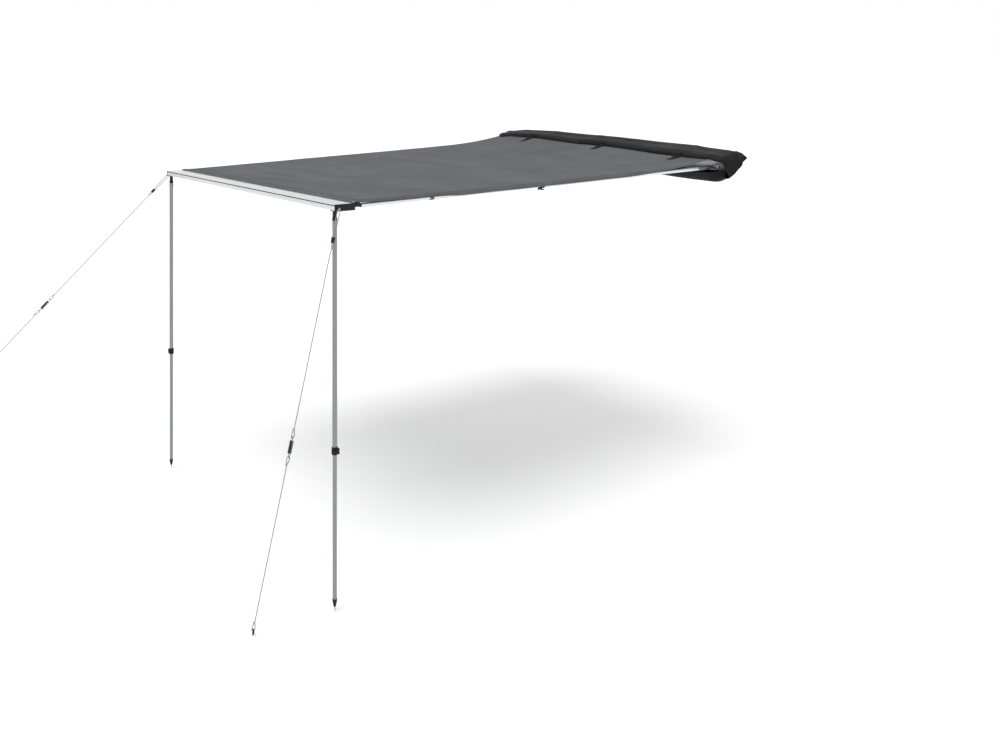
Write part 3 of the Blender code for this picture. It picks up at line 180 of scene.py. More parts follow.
def mapped(tree: Tree, source: str, **inputs: Point) -> Socket:
    """An output of Texture Coordinate, scaled or turned by a Mapping node."""
    place = add_node(tree, "ShaderNodeTexCoord")
    return add_node(tree, "ShaderNodeMapping", inputs={"Vector": place.outputs[source], **inputs}).outputs[0]


def object_noise(tree: Tree, scale: float, stretch: Point = (1.0, 1.0, 1.0), detail: float = 3.0) -> Socket:
    """A noise pattern on object coordinates.

    Args:
        tree: The material's node tree.
        scale: Blotches to the metre.
        stretch: More blotches to the metre along each axis.
        detail: Octaves of finer noise.

    Returns:
        The noise's factor.
    """
    return add_node(tree, "ShaderNodeTexNoise", inputs={
        "Vector": mapped(tree, "Object", Scale=stretch), "Scale": scale, "Detail": detail,
        "Roughness": NOISE_ROUGHNESS,
    }).outputs["Fac"]


def stripes(tree: Tree, pitch: float, axis: str, source: str = "UV", turned_by: float = 0.0) -> Socket:
    """Sine stripes of a real pitch.

    Args:
        tree: The material's node tree.
        pitch: Metres from one stripe to the next.
        axis: "X", "Y" or "Z", the axis that the stripes follow one another on.
        source: The output of Texture Coordinate that is read.
        turned_by: Radians that the pattern is turned by about Z.

    Returns:
        The stripes' factor.
    """
    # A Wave texture of scale 1 repeats every pi / 10 of a unit
    return add_node(tree, "ShaderNodeTexWave", {
        "wave_type": "BANDS", "bands_direction": axis, "wave_profile": "SIN",
    }, {
        "Vector": mapped(tree, source, Rotation=(0.0, 0.0, turned_by)), "Scale": math.pi / 10 / pitch,
    }).outputs["Fac"]


@dataclass(frozen=True)
class Finish:
    """A surface finish, from the material it is made of and how it was made."""

    name: str
    slot: str
    colour: str
    roughness: float
    metallic: float = 0.0
    gloss: float = 0.5

    def material(self) -> bpy.types.Material:
        """Builds the material, or finds the one that was built before."""
        known = bpy.data.materials.get(self.name)
        if known is not None:
            return known
        material = bpy.data.materials.new(self.name)
        tree = fresh_tree(material)
        shader = add_node(tree, "ShaderNodeBsdfPrincipled", inputs={
            "Base Color": linear(self.colour), "Roughness": self.roughness, "Metallic": self.metallic,
            "Specular IOR Level": self.gloss,
        })
        add_node(tree, "ShaderNodeOutputMaterial", inputs={"Surface": shader.outputs["BSDF"]})
        self.pattern(tree, shader)
        return material

    def pattern(self, tree: Tree, shader: Node) -> None:
        """Adds what this finish shows beyond its colour."""

    def vary(self, shader: Node, factor: Socket, darker: float, lighter: float) -> None:
        """Varies the finish's colour with a factor.

        Args:
            shader: The Principled node.
            factor: A socket that runs from 0 to 1.
            darker: The share of the colour that is left at 0.
            lighter: The share of the colour at 1.
        """
        tree, colour = shader.id_data, linear(self.colour)[:3]
        low, high = ([min(1.0, channel * share) for channel in colour] + [1.0] for share in (darker, lighter))
        mix = add_node(tree, "ShaderNodeMix", {"data_type": "RGBA"}, {0: factor, 6: low, 7: high})
        tree.links.new(mix.outputs[2], shader.inputs["Base Color"])

    def roughen(self, shader: Node, factor: Socket, less: float, more: float) -> None:
        """Varies the roughness with a factor, from so much less at 0 to so much more at 1."""
        tree = shader.id_data
        result = remap(tree, factor, end=(self.roughness - less, self.roughness + more))
        tree.links.new(result, shader.inputs["Roughness"])

    @staticmethod
    def bump(shader: Node, height: Socket, depth: float, strength: float) -> None:
        """Feeds a height to the shader's normal, over the bump that it already has.

        Args:
            shader: The Principled node.
            height: A socket that runs from 0 to 1.
            depth: What 1 stands for, in metres.
            strength: How much of the bump is used.
        """
        tree, normal = shader.id_data, shader.inputs["Normal"]
        inputs = {"Height": height, "Distance": depth, "Strength": strength}
        if normal.is_linked:
            inputs["Normal"] = normal.links[0].from_socket
        tree.links.new(add_node(tree, "ShaderNodeBump", inputs=inputs).outputs["Normal"], normal)


@dataclass(frozen=True)
class AnodisedAluminium(Finish):
    """6063 aluminium, extruded or drawn and satin anodised: fine lines along it and a soft gloss."""

    grain: Grain = Grain.ALONG_X

    def pattern(self, tree: Tree, shader: Node) -> None:
        """Die lines along the profile, in roughness, tone and a shallow bump."""
        lines = object_noise(tree, 1.0, self.grain.value, 2.0)
        self.roughen(shader, lines, 0.07, 0.10)
        self.vary(shader, object_noise(tree, 14.0), 0.93, 1.05)
        self.bump(shader, lines, 0.00006, 0.5)


@dataclass(frozen=True)
class ZincPlate(Finish):
    """Steel with bright zinc plating: a grey metal with a faint crystal mottle."""

    def pattern(self, tree: Tree, shader: Node) -> None:
        """A mottle of a few millimetres in tone and roughness."""
        mottle = object_noise(tree, 260.0, detail=4.0)
        self.roughen(shader, mottle, 0.08, 0.12)
        self.vary(shader, mottle, 0.86, 1.08)


@dataclass(frozen=True)
class PowderCoat(Finish):
    """Steel with a black powder coat: a fine orange peel and worn, lighter high spots."""

    def pattern(self, tree: Tree, shader: Node) -> None:
        """Orange peel of about a millimetre."""
        self.vary(shader, object_noise(tree, 70.0, detail=6.0), 0.75, 1.35)
        self.bump(shader, object_noise(tree, 900.0, detail=1.0), 0.0002, 0.5)


@dataclass(frozen=True)
class MouldedPlastic(Finish):
    """Glass-filled nylon, injection moulded: a fine spark-eroded grain with a dull gloss."""

    def pattern(self, tree: Tree, shader: Node) -> None:
        """Spark-eroded grain, drawn at about 0.8 mm because the real 0.1 mm wouldn't show."""
        wear = object_noise(tree, 40.0, detail=5.0)
        self.roughen(shader, wear, 0.10, 0.12)
        self.vary(shader, wear, 0.80, 1.30)
        self.bump(shader, object_noise(tree, 1300.0, detail=2.0), 0.00015, 0.6)


@dataclass(frozen=True)
class CoatedCanvas(Finish):
    """Poly-cotton ripstop canvas with a water-proof coating: matt, with a faint mottle of painted crease
    shade and a weave.
    """

    thread: float = 0.0030
    check: float = 0.0150
    check_sharpness: float = 24.0

    def pattern(self, tree: Tree, shader: Node) -> None:
        """Weave and ripstop check, drawn three times as coarse as real so that they show, and a mottle of
        painted crease shade.
        """
        weave = add_math(tree, "MULTIPLY", *(stripes(tree, self.thread, axis) for axis in "XY"))
        check = add_math(tree, "MAXIMUM", *(
            add_math(tree, "POWER", stripes(tree, self.check, axis), self.check_sharpness) for axis in "XY"
        ))
        # Painted shade: soft blotches and streaks along X darken and lighten the colour as the shade of soft
        # creases would.
        painted_shade_blotch = add_math(tree, "MULTIPLY_ADD", object_noise(tree, 3.2, (1.0, 1.7, 1.0), 5.0), 0.5, 0.0)
        mottle = add_math(tree, "MULTIPLY_ADD", object_noise(tree, 0.9, (1.0, 3.0, 1.0), 6.0), 0.5, painted_shade_blotch)
        self.vary(shader, remap(tree, mottle, (0.34, 0.66)), 0.83, 1.13)
        self.bump(shader, weave, 0.00035, 0.4)
        self.bump(shader, check, 0.0004, 0.4)


@dataclass(frozen=True)
class CoatedVinyl(Finish):
    """PVC-coated polyester, calendered: black-brown, softly glossy, with a pebble grain."""

    def pattern(self, tree: Tree, shader: Node) -> None:
        """Pebble grain, the fine creases that folding leaves, and lighter patches of painted sheen."""
        place = add_node(tree, "ShaderNodeTexCoord")
        pebbles = add_node(tree, "ShaderNodeTexVoronoi", {"feature": "SMOOTH_F1"}, {
            "Vector": place.outputs["Object"], "Scale": 420.0, "Smoothness": 0.6,
        })
        creases = remap(tree, object_noise(tree, 11.0, (1.0, 2.4, 2.4), 7.0), (0.42, 0.60))
        # Painted sheen: lighter patches in the colour stand in for light caught on the folds; the same
        # patches also vary the roughness.
        painted_sheen = object_noise(tree, 5.0, (1.0, 2.0, 2.0), 5.0)
        self.roughen(shader, painted_sheen, 0.10, 0.16)
        self.vary(shader, painted_sheen, 0.72, 1.30)
        self.bump(shader, pebbles.outputs["Distance"], 0.0004, 0.35)
        self.bump(shader, creases, 0.0035, 0.45)


@dataclass(frozen=True)
class Webbing(Finish):
    """Woven polypropylene webbing: matt, with ribs across it."""

    rib: float = 0.0030

    def pattern(self, tree: Tree, shader: Node) -> None:
        """Ribs at about twice their real pitch."""
        ribs, threads = stripes(tree, self.rib, "Y", "Object"), stripes(tree, self.rib * 0.6, "X", "Object")
        weave = add_math(tree, "MULTIPLY", ribs, threads)
        self.vary(shader, weave, 0.75, 1.25)
        self.bump(shader, weave, 0.0006, 0.7)


@dataclass(frozen=True)
class BraidedRope(Finish):
    """Braided polyester rope: pale grey strands that cross each other round it."""

    strand: float = 0.0080

    def pattern(self, tree: Tree, shader: Node) -> None:
        """Crossing strands, from the rope's own UV map in metres."""
        one, other = (stripes(tree, self.strand / 2, "X", "UV", turn) for turn in (math.pi / 4, -math.pi / 4))
        braid = add_math(tree, "MAXIMUM", one, other)
        self.vary(shader, braid, 0.55, 1.12)
        self.bump(shader, braid, 0.0006, 0.8)


RAIL_ALUMINIUM = AnodisedAluminium("satin_anodised_rail", "rail_aluminium", "#b9bdc0", 0.38, 1.0)
BAR_ALUMINIUM = AnodisedAluminium("bright_anodised_bar", "bar_aluminium", "#d6d9db", 0.36, 1.0)
LEG_ALUMINIUM = AnodisedAluminium(
    "satin_anodised_leg", "leg_aluminium", "#8d9092", 0.33, 1.0, grain=Grain.ALONG_Z,
)
RAFTER_ALUMINIUM = AnodisedAluminium(
    "bright_anodised_rafter", "rafter_aluminium", "#dfe2e4", 0.36, 1.0, grain=Grain.ALONG_Y,
)
BLACK_STEEL = PowderCoat("powder_coated_steel", "black_steel", "#1c1d1e", 0.45, gloss=0.35)
ZINC_STEEL = ZincPlate("zinc_plated_steel", "zinc_steel", "#c2c5c8", 0.30, 1.0)
BLACK_PLASTIC = MouldedPlastic("moulded_black_nylon", "black_plastic", "#151516", 0.50, gloss=0.30)
GREY_PLASTIC = MouldedPlastic("moulded_grey_nylon", "grey_plastic", "#77797b", 0.50, gloss=0.35)
CANOPY_CANVAS = CoatedCanvas("coated_ripstop_canvas", "canopy_canvas", "#6b6e71", 0.85, gloss=0.12)
BAG_VINYL = CoatedVinyl("calendered_vinyl", "bag_vinyl", "#191719", 0.56, gloss=0.18)
STRAP_WEBBING = Webbing("woven_webbing", "strap_webbing", "#1d1c1f", 0.80, gloss=0.20)
GUY_ROPE = BraidedRope("braided_rope", "guy_rope", "#b0b2b3", 0.75, gloss=0.20)
CANVAS_THREAD = Finish("grey_sewing_thread", "canopy_canvas", "#686e70", 0.70, gloss=0.15)
VINYL_THREAD = Finish("black_sewing_thread", "bag_vinyl", "#343234", 0.65, gloss=0.25)


def arc(steps: int, start: float, span: float) -> list[Pair]:
    """The cosine and the sine at even steps from one angle over a span, both in degrees."""
    angles = [math.radians(start + span * i / steps) for i in range(steps + 1)]
    return [(math.cos(angle), math.sin(angle)) for angle in angles]


def run_of(points: Line) -> float:
    """The length of a line through points."""
    return sum((b - a).length for a, b in zip(points, points[1:]))


def filled_mesh(name: str, bm: BMesh) -> Mesh:
    """Turns a bmesh to a mesh and frees it."""
    mesh = bpy.data.meshes.new(name)
    bm.to_mesh(mesh)
    bm.free()
    return mesh


def linked(name: str, data: Any) -> Piece:
    """Makes an object of a mesh, lamp or camera and links it to the scene."""
    made = bpy.data.objects.new(name, data)
    bpy.context.scene.collection.objects.link(made)
    return made


def new_object(name: str, mesh: Mesh, finish: Finish) -> Piece:
    """Links a mesh, with its place in it, as an object of that finish."""
    made = linked(name, mesh)
    mesh.materials.clear()
    mesh.materials.append(finish.material())
    return made


def smoothed(mesh: Mesh, sharp: float) -> None:
    """Shades a mesh smooth up to an angle in degrees."""
    mesh.shade_smooth()
    mesh.set_sharp_from_angle(angle=math.radians(sharp))


def mesh_object(name: str, bm: BMesh, finish: Finish, sharp: float = SHARP_CUT) -> Piece:
    """Turns a bmesh to an object, shaded smooth up to an angle.

    Args:
        name: The piece's name.
        bm: The bmesh, which is freed.
        finish: Its finish.
        sharp: Degrees from which an edge stays sharp.

    Returns:
        The object.
    """
    mesh = filled_mesh(name, bm)
    smoothed(mesh, sharp)
    return new_object(name, mesh, finish)


def settled(obj: Piece) -> Piece:
    """Turns an object's modifiers and place into its mesh.

    Args:
        obj: The object, with its modifiers.

    Returns:
        The same object, with a plain mesh, at the origin.
    """
    bpy.context.view_layer.update()
    graph = bpy.context.evaluated_depsgraph_get()
    mesh = bpy.data.meshes.new_from_object(obj.evaluated_get(graph))
    mesh.transform(obj.matrix_world)
    obj.modifiers.clear()
    obj.data = mesh
    obj.matrix_world = Matrix.Identity(4)
    return obj


def dress(obj: Piece, body: str, replaced: Sequence[str] = ()) -> Piece:
    """Rides a finished piece on its body and the nodes it stands for.

    Args:
        obj: The piece.
        body: The body that carries it.
        replaced: The nodes that it replaces.

    Returns:
        The piece.
    """
    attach(obj, body)
    if replaced:
        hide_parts(*replaced)
    LOG.info("%s rides on %s", obj.name, body)
    return obj


def frame_along(direction: Vector) -> Matrix:
    """A turn whose Z runs along a level or sloping direction and whose Y is near upright."""
    z = direction.normalized()
    x = Vector((0, 0, 1)).cross(z).normalized()
    return Matrix((x, z.cross(x), z)).transposed().to_4x4()


def lathe(bm: BMesh, profile: Sequence[Pair], place: Matrix, sides: int = 48) -> None:
    """Adds a turned shape, closed at both ends or round its ring.

    Args:
        bm: The bmesh to add to.
        profile: (radius, height) points; the first and last meet the axis, or each other.
        place: Where the turning axis, local +Z, lies.
        sides: Faces round it.
    """
    rings = []
    for radius, height in profile:
        spokes = arc(sides, 0, 360)[:-1] if radius else [(0.0, 0.0)]
        rings.append([bm.verts.new(place @ Vector((radius * c, radius * s, height))) for c, s in spokes])
    pairs = list(zip(rings, rings[1:]))
    if profile[0][0] > 0:
        pairs.append((rings[-1], rings[0]))
    made = []
    for low, high in pairs:
        for i in range(sides):
            j = (i + 1) % sides
            corners = [low[i % len(low)], low[j % len(low)], high[j % len(high)], high[i % len(high)]]
            unique = list(dict.fromkeys(corners))
            if len(unique) > 2:
                made.append(bm.faces.new(unique))
    bmesh.ops.recalc_face_normals(bm, faces=made)


def extruded(bm: BMesh, outline: Sequence[Pair], reach: Pair, place: Matrix) -> None:
    """Adds an outline in the local XY plane, extruded along local Z.

    Args:
        bm: The bmesh to add to.
        outline: The outline's corners in order.
        reach: Where the extrusion starts and ends along local Z.
        place: Where the outline lies.
    """
    rings = [[bm.verts.new(place @ Vector((x, y, z))) for x, y in outline] for z in reach]
    made = [bm.faces.new(rings[0]), bm.faces.new(list(reversed(rings[1])))]
    for i in range(len(outline)):
        j = (i + 1) % len(outline)
        made.append(bm.faces.new((rings[0][i], rings[1][i], rings[1][j], rings[0][j])))
    bmesh.ops.recalc_face_normals(bm, faces=made)


def sweep(name: str, path: Line, radius: float, sides: int, finish: Finish) -> Piece:
    """A round tube along a path, with a UV map in metres along it and round it.

    Args:
        name: The piece's name.
        path: The ring centres.
        radius: The tube's radius.
        sides: Faces round it.
        finish: Its finish.

    Returns:
        The object.
    """
    bm = bmesh.new()
    uv = bm.loops.layers.uv.new("UVMap")
    points = [Vector(p) for p in path]
    ahead = [*points[1:], points[-1]]
    behind = [points[0], *points[:-1]]
    side = (ahead[0] - behind[0]).normalized().orthogonal().normalized()
    rings, lengths, run = [], [], 0.0
    for point, before, after in zip(points, behind, ahead):
        tangent = (after - before).normalized()
        side = (side - tangent * side.dot(tangent)).normalized()
        other = tangent.cross(side)
        spokes = arc(sides, 0, 360)[:-1]
        rings.append([bm.verts.new(point + radius * (side * c + other * s)) for c, s in spokes])
        run += (point - before).length
        lengths.append(run)
    around = 2 * math.pi * radius / sides
    for i in range(len(rings) - 1):
        for k in range(sides):
            j = (k + 1) % sides
            face = bm.faces.new((rings[i][k], rings[i][j], rings[i + 1][j], rings[i + 1][k]))
            corners = ((i, k), (i, k + 1), (i + 1, k + 1), (i + 1, k))
            for loop, (row, column) in zip(face.loops, corners):
                loop[uv].uv = (lengths[row], column * around)
    bm.faces.new(list(reversed(rings[0])))
    bm.faces.new(rings[-1])
    return mesh_object(name, bm, finish, SHARP_SOFT)


def rounded(piece: Piece, width: float) -> Piece:
    """Rounds a piece's edges by a bevel of two steps and that width."""
    bevel = piece.modifiers.new("rounded_edges", "BEVEL")
    bevel.width = width
    bevel.segments = 2
    bevel.limit_method = "ANGLE"
    bevel.angle_limit = math.radians(BEVEL_ANGLE)
    settled(piece)
    smoothed(piece.data, SHARP_ROUNDED)
    return piece


def softened(node: str, finish: Finish, body: str, width: float) -> Piece:
    """A merged copy of a node with rounded edges, which replaces it.

    Args:
        node: The node's name.
        finish: The copy's finish.
        body: The body that carries it.
        width: The rounding's width.

    Returns:
        The copy.
    """
    bm = bmesh.new()
    bm.from_mesh(frame["nodes"][node].data)
    bmesh.ops.remove_doubles(bm, verts=bm.verts, dist=MERGE_DISTANCE)
    bmesh.ops.dissolve_limit(bm, angle_limit=math.radians(FLAT_ANGLE), verts=bm.verts, edges=bm.edges)
    return dress(rounded(mesh_object(f"{node}_finished", bm, finish), width), body, [node])


def turned(name: str, profile: Sequence[Pair], place: Matrix, finish: Finish, sides: int = 56) -> Piece:
    """A turned piece, from the profile, place and sides of a lathe."""
    bm = bmesh.new()
    lathe(bm, profile, place, sides)
    return mesh_object(name, bm, finish, SHARP_TURNED)


def drawn_tube(
    name: str, node: str, ends: Pair, radius: float, place: Matrix, finish: Finish, body: str,
) -> None:
    """A drawn tube with its ends cut and deburred.

    Args:
        name: The piece's name.
        node: The node that it replaces.
        ends: Its two ends along local Z.
        radius: Outer radius.
        place: Where its axis lies.
        finish: Its finish.
        body: The body that carries it.
    """
    low, high = min(ends), max(ends)
    bore = radius - TUBE_WALL
    dress(turned(name, [
        (radius - BURR, low), (radius, low + BURR), (radius, high - BURR), (radius - BURR, high),
        (bore + BURR, high), (bore, high - BURR), (bore, low + BURR), (bore + BURR, low),
    ], place, finish), body, [node])


def smooth_path(points: Line, steps: int) -> list[Vector]:
    """A Catmull-Rom curve through points.

    Args:
        points: The route's own points.
        steps: Steps for each span.

    Returns:
        The curve's points.
    """
    ends = [2 * points[0] - points[1], *points, 2 * points[-1] - points[-2]]
    path = []
    for a, b, c, d in zip(ends, ends[1:], ends[2:], ends[3:]):
        for i in range(steps):
            t = i / steps
            path.append(0.5 * (
                2 * b + (c - a) * t + (2 * a - 5 * b + 4 * c - d) * t * t
                + (3 * b - a - 3 * c + d) * t ** 3
            ))
    return [*path, points[-1]]


def grid_sheet(name: str, rows: Sequence[Line], thickness: float, finish: Finish) -> Piece:
    """A sheet from a grid of points, with a UV map in metres and its thickness about the grid.

    Args:
        name: The piece's name.
        rows: The grid's points.
        thickness: The sheet's thickness.
        finish: Its finish.

    Returns:
        The object.
    """
    bm = bmesh.new()
    uv = bm.loops.layers.uv.new("UVMap")
    grid = [[bm.verts.new(point) for point in row] for row in rows]
    middle = rows[len(rows) // 2]
    along = [run_of(middle[:k + 1]) for k in range(len(middle))]
    centre = [row[len(row) // 2] for row in rows]
    over = [run_of(centre[:k + 1]) for k in range(len(centre))]
    for i, (first, second) in enumerate(zip(grid, grid[1:])):
        for j in range(len(first) - 1):
            face = bm.faces.new((first[j], second[j], second[j + 1], first[j + 1]))
            corners = ((i, j), (i + 1, j), (i + 1, j + 1), (i, j + 1))
            for loop, (row, column) in zip(face.loops, corners):
                loop[uv].uv = (over[row], along[column])
    made = mesh_object(name, bm, finish, SHARP_SHEET)
    solid = made.modifiers.new("thickness", "SOLIDIFY")
    solid.thickness = thickness
    solid.offset = 0.0
    settled(made)
    smoothed(made.data, SHARP_SOFT)
    return made


@dataclass
class Repeater:
    """A Geometry Nodes tree that sets one small shape at many places."""

    name: str
    finish: Finish

    def places(self, tree: Tree, given: Outputs) -> tuple[Socket, Socket, str, Socket]:
        """Adds the nodes that give the points, the shape, its axis and the direction that it takes."""
        raise NotImplementedError

    def run(self, name: str, mesh: Mesh, body: str, values: dict[str, tuple[str, Any]]) -> Piece:
        """Builds the tree, runs it on a mesh and rides the piece on a body.

        Args:
            name: The new piece's name.
            mesh: The lines or the points.
            body: The body that carries it.
            values: The type and the value of each input of the tree.

        Returns:
            The piece, as a plain mesh.
        """
        tree = bpy.data.node_groups.new(self.name, "GeometryNodeTree")
        inputs = {"Geometry": ("Geometry", None), **values, "Material": ("Material", self.finish.material())}
        for socket, (kind, _) in inputs.items():
            tree.interface.new_socket(socket, in_out="INPUT", socket_type=f"NodeSocket{kind}")
        tree.interface.new_socket("Geometry", in_out="OUTPUT", socket_type="NodeSocketGeometry")
        given = add_node(tree, "NodeGroupInput").outputs
        points, shape, axis, aim = self.places(tree, given)
        turn = add_node(tree, "FunctionNodeAlignRotationToVector", {"axis": axis}, {"Vector": aim})
        placed = add_node(tree, "GeometryNodeInstanceOnPoints", inputs={
            "Points": points, "Instance": shape, "Rotation": turn.outputs["Rotation"],
        })
        real = add_node(tree, "GeometryNodeRealizeInstances", inputs={"Geometry": placed.outputs[0]})
        painted = add_node(tree, "GeometryNodeSetMaterial", inputs={
            "Geometry": real.outputs[0], "Material": given["Material"],
        })
        add_node(tree, "NodeGroupOutput", inputs={"Geometry": painted.outputs[0]})
        made = new_object(name, mesh, self.finish)
        modifier = made.modifiers.new(self.name, "NODES")
        modifier.node_group = tree
        for item in tree.interface.items_tree:
            if item.in_out == "INPUT" and inputs[item.name][1] is not None:
                modifier[item.identifier] = inputs[item.name][1]
        return dress(settled(made), body)


@dataclass
class Boxes(Repeater):
    """Boxes of one size at even steps along lines."""

    size: Point
    spacing: float

    def places(self, tree: Tree, given: Outputs) -> tuple[Socket, Socket, str, Socket]:
        """Turns the lines to curves and points, and adds the box."""
        curve = add_node(tree, "GeometryNodeMeshToCurve", inputs={"Mesh": given["Geometry"]})
        steps = add_node(tree, "GeometryNodeCurveToPoints", {"mode": "LENGTH"}, {
            "Curve": curve.outputs["Curve"], "Length": given["Spacing"],
        }).outputs
        box = add_node(tree, "GeometryNodeMeshCube", inputs={"Size": given["Shape"]})
        return steps["Points"], box.outputs["Mesh"], "X", steps["Tangent"]

    def along(self, name: str, lines: Sequence[Line], body: str) -> Piece:
        """Sets the boxes along lines, given by their points, and rides the piece on a body."""
        bm = bmesh.new()
        for line in lines:
            verts = [bm.verts.new(point) for point in line]
            for first, second in zip(verts, verts[1:]):
                bm.edges.new((first, second))
        values = {"Spacing": ("Float", self.spacing), "Shape": ("Vector", self.size)}
        return self.run(name, filled_mesh(name, bm), body, values)


@dataclass
class Heads(Repeater):
    """Small turned heads at single places."""

    profile: Sequence[Pair]
    sides: int = 24

    def places(self, tree: Tree, given: Outputs) -> tuple[Socket, Socket, str, Socket]:
        """Turns the mesh to points, and adds the head and the points' own aim."""
        points = add_node(tree, "GeometryNodeMeshToPoints", inputs={"Mesh": given["Geometry"]})
        head = add_node(tree, "GeometryNodeObjectInfo", inputs={"Object": given["Head"]})
        aim = add_node(tree, "GeometryNodeInputNamedAttribute", {"data_type": "FLOAT_VECTOR"}, {
            "Name": "aim",
        })
        return points.outputs["Points"], head.outputs["Geometry"], "Z", aim.outputs[0]

    def at(self, name: str, spots: Sequence[tuple[Vector, Vector]], body: str) -> Piece:
        """Sets a head at each spot, given by its place and its aim, and rides the piece on a body."""
        head = turned(f"{name}_head", self.profile, Matrix.Identity(4), self.finish, self.sides)
        mesh = bpy.data.meshes.new(name)
        mesh.from_pydata([tuple(place) for place, aim in spots], [], [])
        aims = mesh.attributes.new("aim", "FLOAT_VECTOR", "POINT")
        for item, (place, aim) in zip(aims.data, spots):
            item.vector = aim
        made = self.run(name, mesh, body, {"Head": ("Object", head)})
        bpy.data.objects.remove(head, do_unlink=True)
        return made


@dataclass
class GuyRope:
    """One guy rope: a doubled upper length through a runner, a spring, and a lower length to its peg."""

    side: Side
    peg: Pair
    rope: float = 0.005
    loop_gap: float = 0.0006
    eye_gap: float = 0.0008
    eye_ring: float = 0.0085
    eye_wire: float = 0.0034
    eye_x: float = 1.2577
    eye_z: float = -0.088
    runner_at: float = 0.150
    runner_length: float = 0.030
    strand_offset: float = 0.0045
    strand_spread: float = 0.0007
    strand_step: float = 0.0345
    loop_radius: float = 0.007
    loop_length: float = 0.040
    straight_step: float = 0.120
    spring_at: float = 1.194
    spring_outer: float = 0.021
    spring_wire: float = 0.003
    curls: int = 13
    curl_steps: int = 20
    pitch: float = 0.005
    end_loop: float = 0.009
    end_neck: float = 0.0015
    peg_shank: float = 0.024
    peg_bend: float = 0.010
    peg_wire: float = 0.007
    rope_sides: int = 12
    start: Vector = field(default_factory=Vector)
    down: Vector = field(default_factory=Vector)
    aside: Vector = field(default_factory=Vector)
    across: Vector = field(default_factory=Vector)
    length: float = 0.0

    def __post_init__(self) -> None:
        """Works out the line from the eye's ring to the peg's hook."""
        centre = Vector((self.side.sign * self.eye_x, LEG_Y, self.eye_z))
        hook = Vector((*self.peg, GROUND_Z + self.peg_shank + self.peg_bend))
        self.start = centre
        for _ in range(3):
            self.down = (hook - self.start).normalized()
            turn = math.atan2(self.down.y, -self.down.z)
            self.start = centre + Vector((0, math.sin(turn), -math.cos(turn))) * self.eye_ring
        self.aside = Vector((0, 0, 1)).cross(self.down).normalized()
        self.across = self.down.cross(self.aside)
        self.length = (hook - self.start).length

    def at(self, distance: float, across: float = 0.0, aside: float = 0.0) -> Vector:
        """A point along the line, moved across it and aside."""
        return self.start + self.down * distance + self.across * across + self.aside * aside

    def loop(self, distance: float, bar_radius: float, pull: int) -> list[Vector]:
        """An end loop round a bar.

        Args:
            distance: Of the bar's middle along the line.
            bar_radius: The bar's radius.
            pull: 1 where the rope comes from the eye's side, -1 where it comes from the ground.

        Returns:
            The loop's points, from the main strand to the tail.
        """
        apex = distance + pull * (bar_radius + self.rope / 2 + self.loop_gap)
        centre = apex - pull * self.loop_radius
        reach = pull * self.loop_length
        radius = self.loop_radius
        turn = [self.at(centre + pull * radius * c, radius * s) for c, s in arc(6, -90, 180)]
        strand, tail = ([self.at(centre - reach * share, out) for share, out in side] for side in (
            ((1, 0.0), (0.7, -0.002), (0.3, -0.0062)), ((0.3, 0.0062), (0.65, 0.0050), (0.95, 0.0066)),
        ))
        return strand + turn + tail

    def straight(self, first: float, last: float) -> list[Vector]:
        """Evenly spaced points between two distances, both left out."""
        count = max(1, round(abs(last - first) / self.straight_step))
        return [self.at(first + (last - first) * i / count) for i in range(1, count)]

    @property
    def ring_middle(self) -> float:
        """From the spring's middle to the centre of an end loop."""
        return self.curls * self.pitch / 2 + self.end_neck + self.end_loop

    def upper_route(self) -> list[Vector]:
        """Tail, runner, eye, runner again, then down to the spring."""
        low_end, offset = self.runner_at + self.runner_length / 2, self.strand_offset
        tail = [self.at(low_end + distance, across, aside) for distance, across, aside in (
            (0.024, 0.006, 0.042), (0.019, 0.007, 0.026), (0.011, 0.006, 0.010), (0.004, offset, 0.001),
        )]
        steps = [(low_end - 0.008 - i * self.strand_step, offset + self.strand_spread * i) for i in range(4)]
        rise, fall = ([self.at(distance, sign * out) for distance, out in steps] for sign in (1, -1))
        centre = self.loop_radius - self.eye_wire / 2 - self.rope / 2 - self.eye_gap
        bend = [self.at(centre - self.loop_radius * c, self.loop_radius * s) for c, s in arc(6, 90, -180)]
        join_at = low_end + 0.080
        merge = [self.at(low_end + 0.004, -offset), self.at(low_end + 0.040, -0.002), self.at(join_at)]
        ring = self.spring_at - self.ring_middle - self.end_loop
        down = self.straight(join_at, ring - self.loop_length - 0.004)
        return tail + rise + bend + fall[::-1] + merge + down + self.loop(ring, self.spring_wire / 2, 1)

    def lower_route(self) -> list[Vector]:
        """From the loop in the spring to the loop under the peg's hook."""
        ring = self.spring_at + self.ring_middle + self.end_loop
        top = self.loop(ring, self.spring_wire / 2, -1)[::-1]
        down = self.straight(ring + self.loop_length + 0.004, self.length - self.loop_length - 0.008)
        return top + down + self.loop(self.length, self.peg_wire / 2, 1)

    def spring_route(self) -> list[Vector]:
        """The spring's one wire: an end loop, the curls and the other end loop."""
        radius = (self.spring_outer - self.spring_wire) / 2
        half = self.curls * self.pitch / 2
        first, last = (
            [self.at(self.spring_at + sign * (self.ring_middle - self.end_loop * c), 0, self.end_loop * s)
             for c, s in arc(self.curl_steps, -45, -225)]
            for sign in (-1, 1)
        )
        count = self.curls * self.curl_steps
        curls = [
            self.at(self.spring_at - half + 2 * half * i / count, radius * s, radius * c)
            for i, (c, s) in enumerate(arc(count, 0, 360 * self.curls))
        ]
        return first + curls + last[::-1]

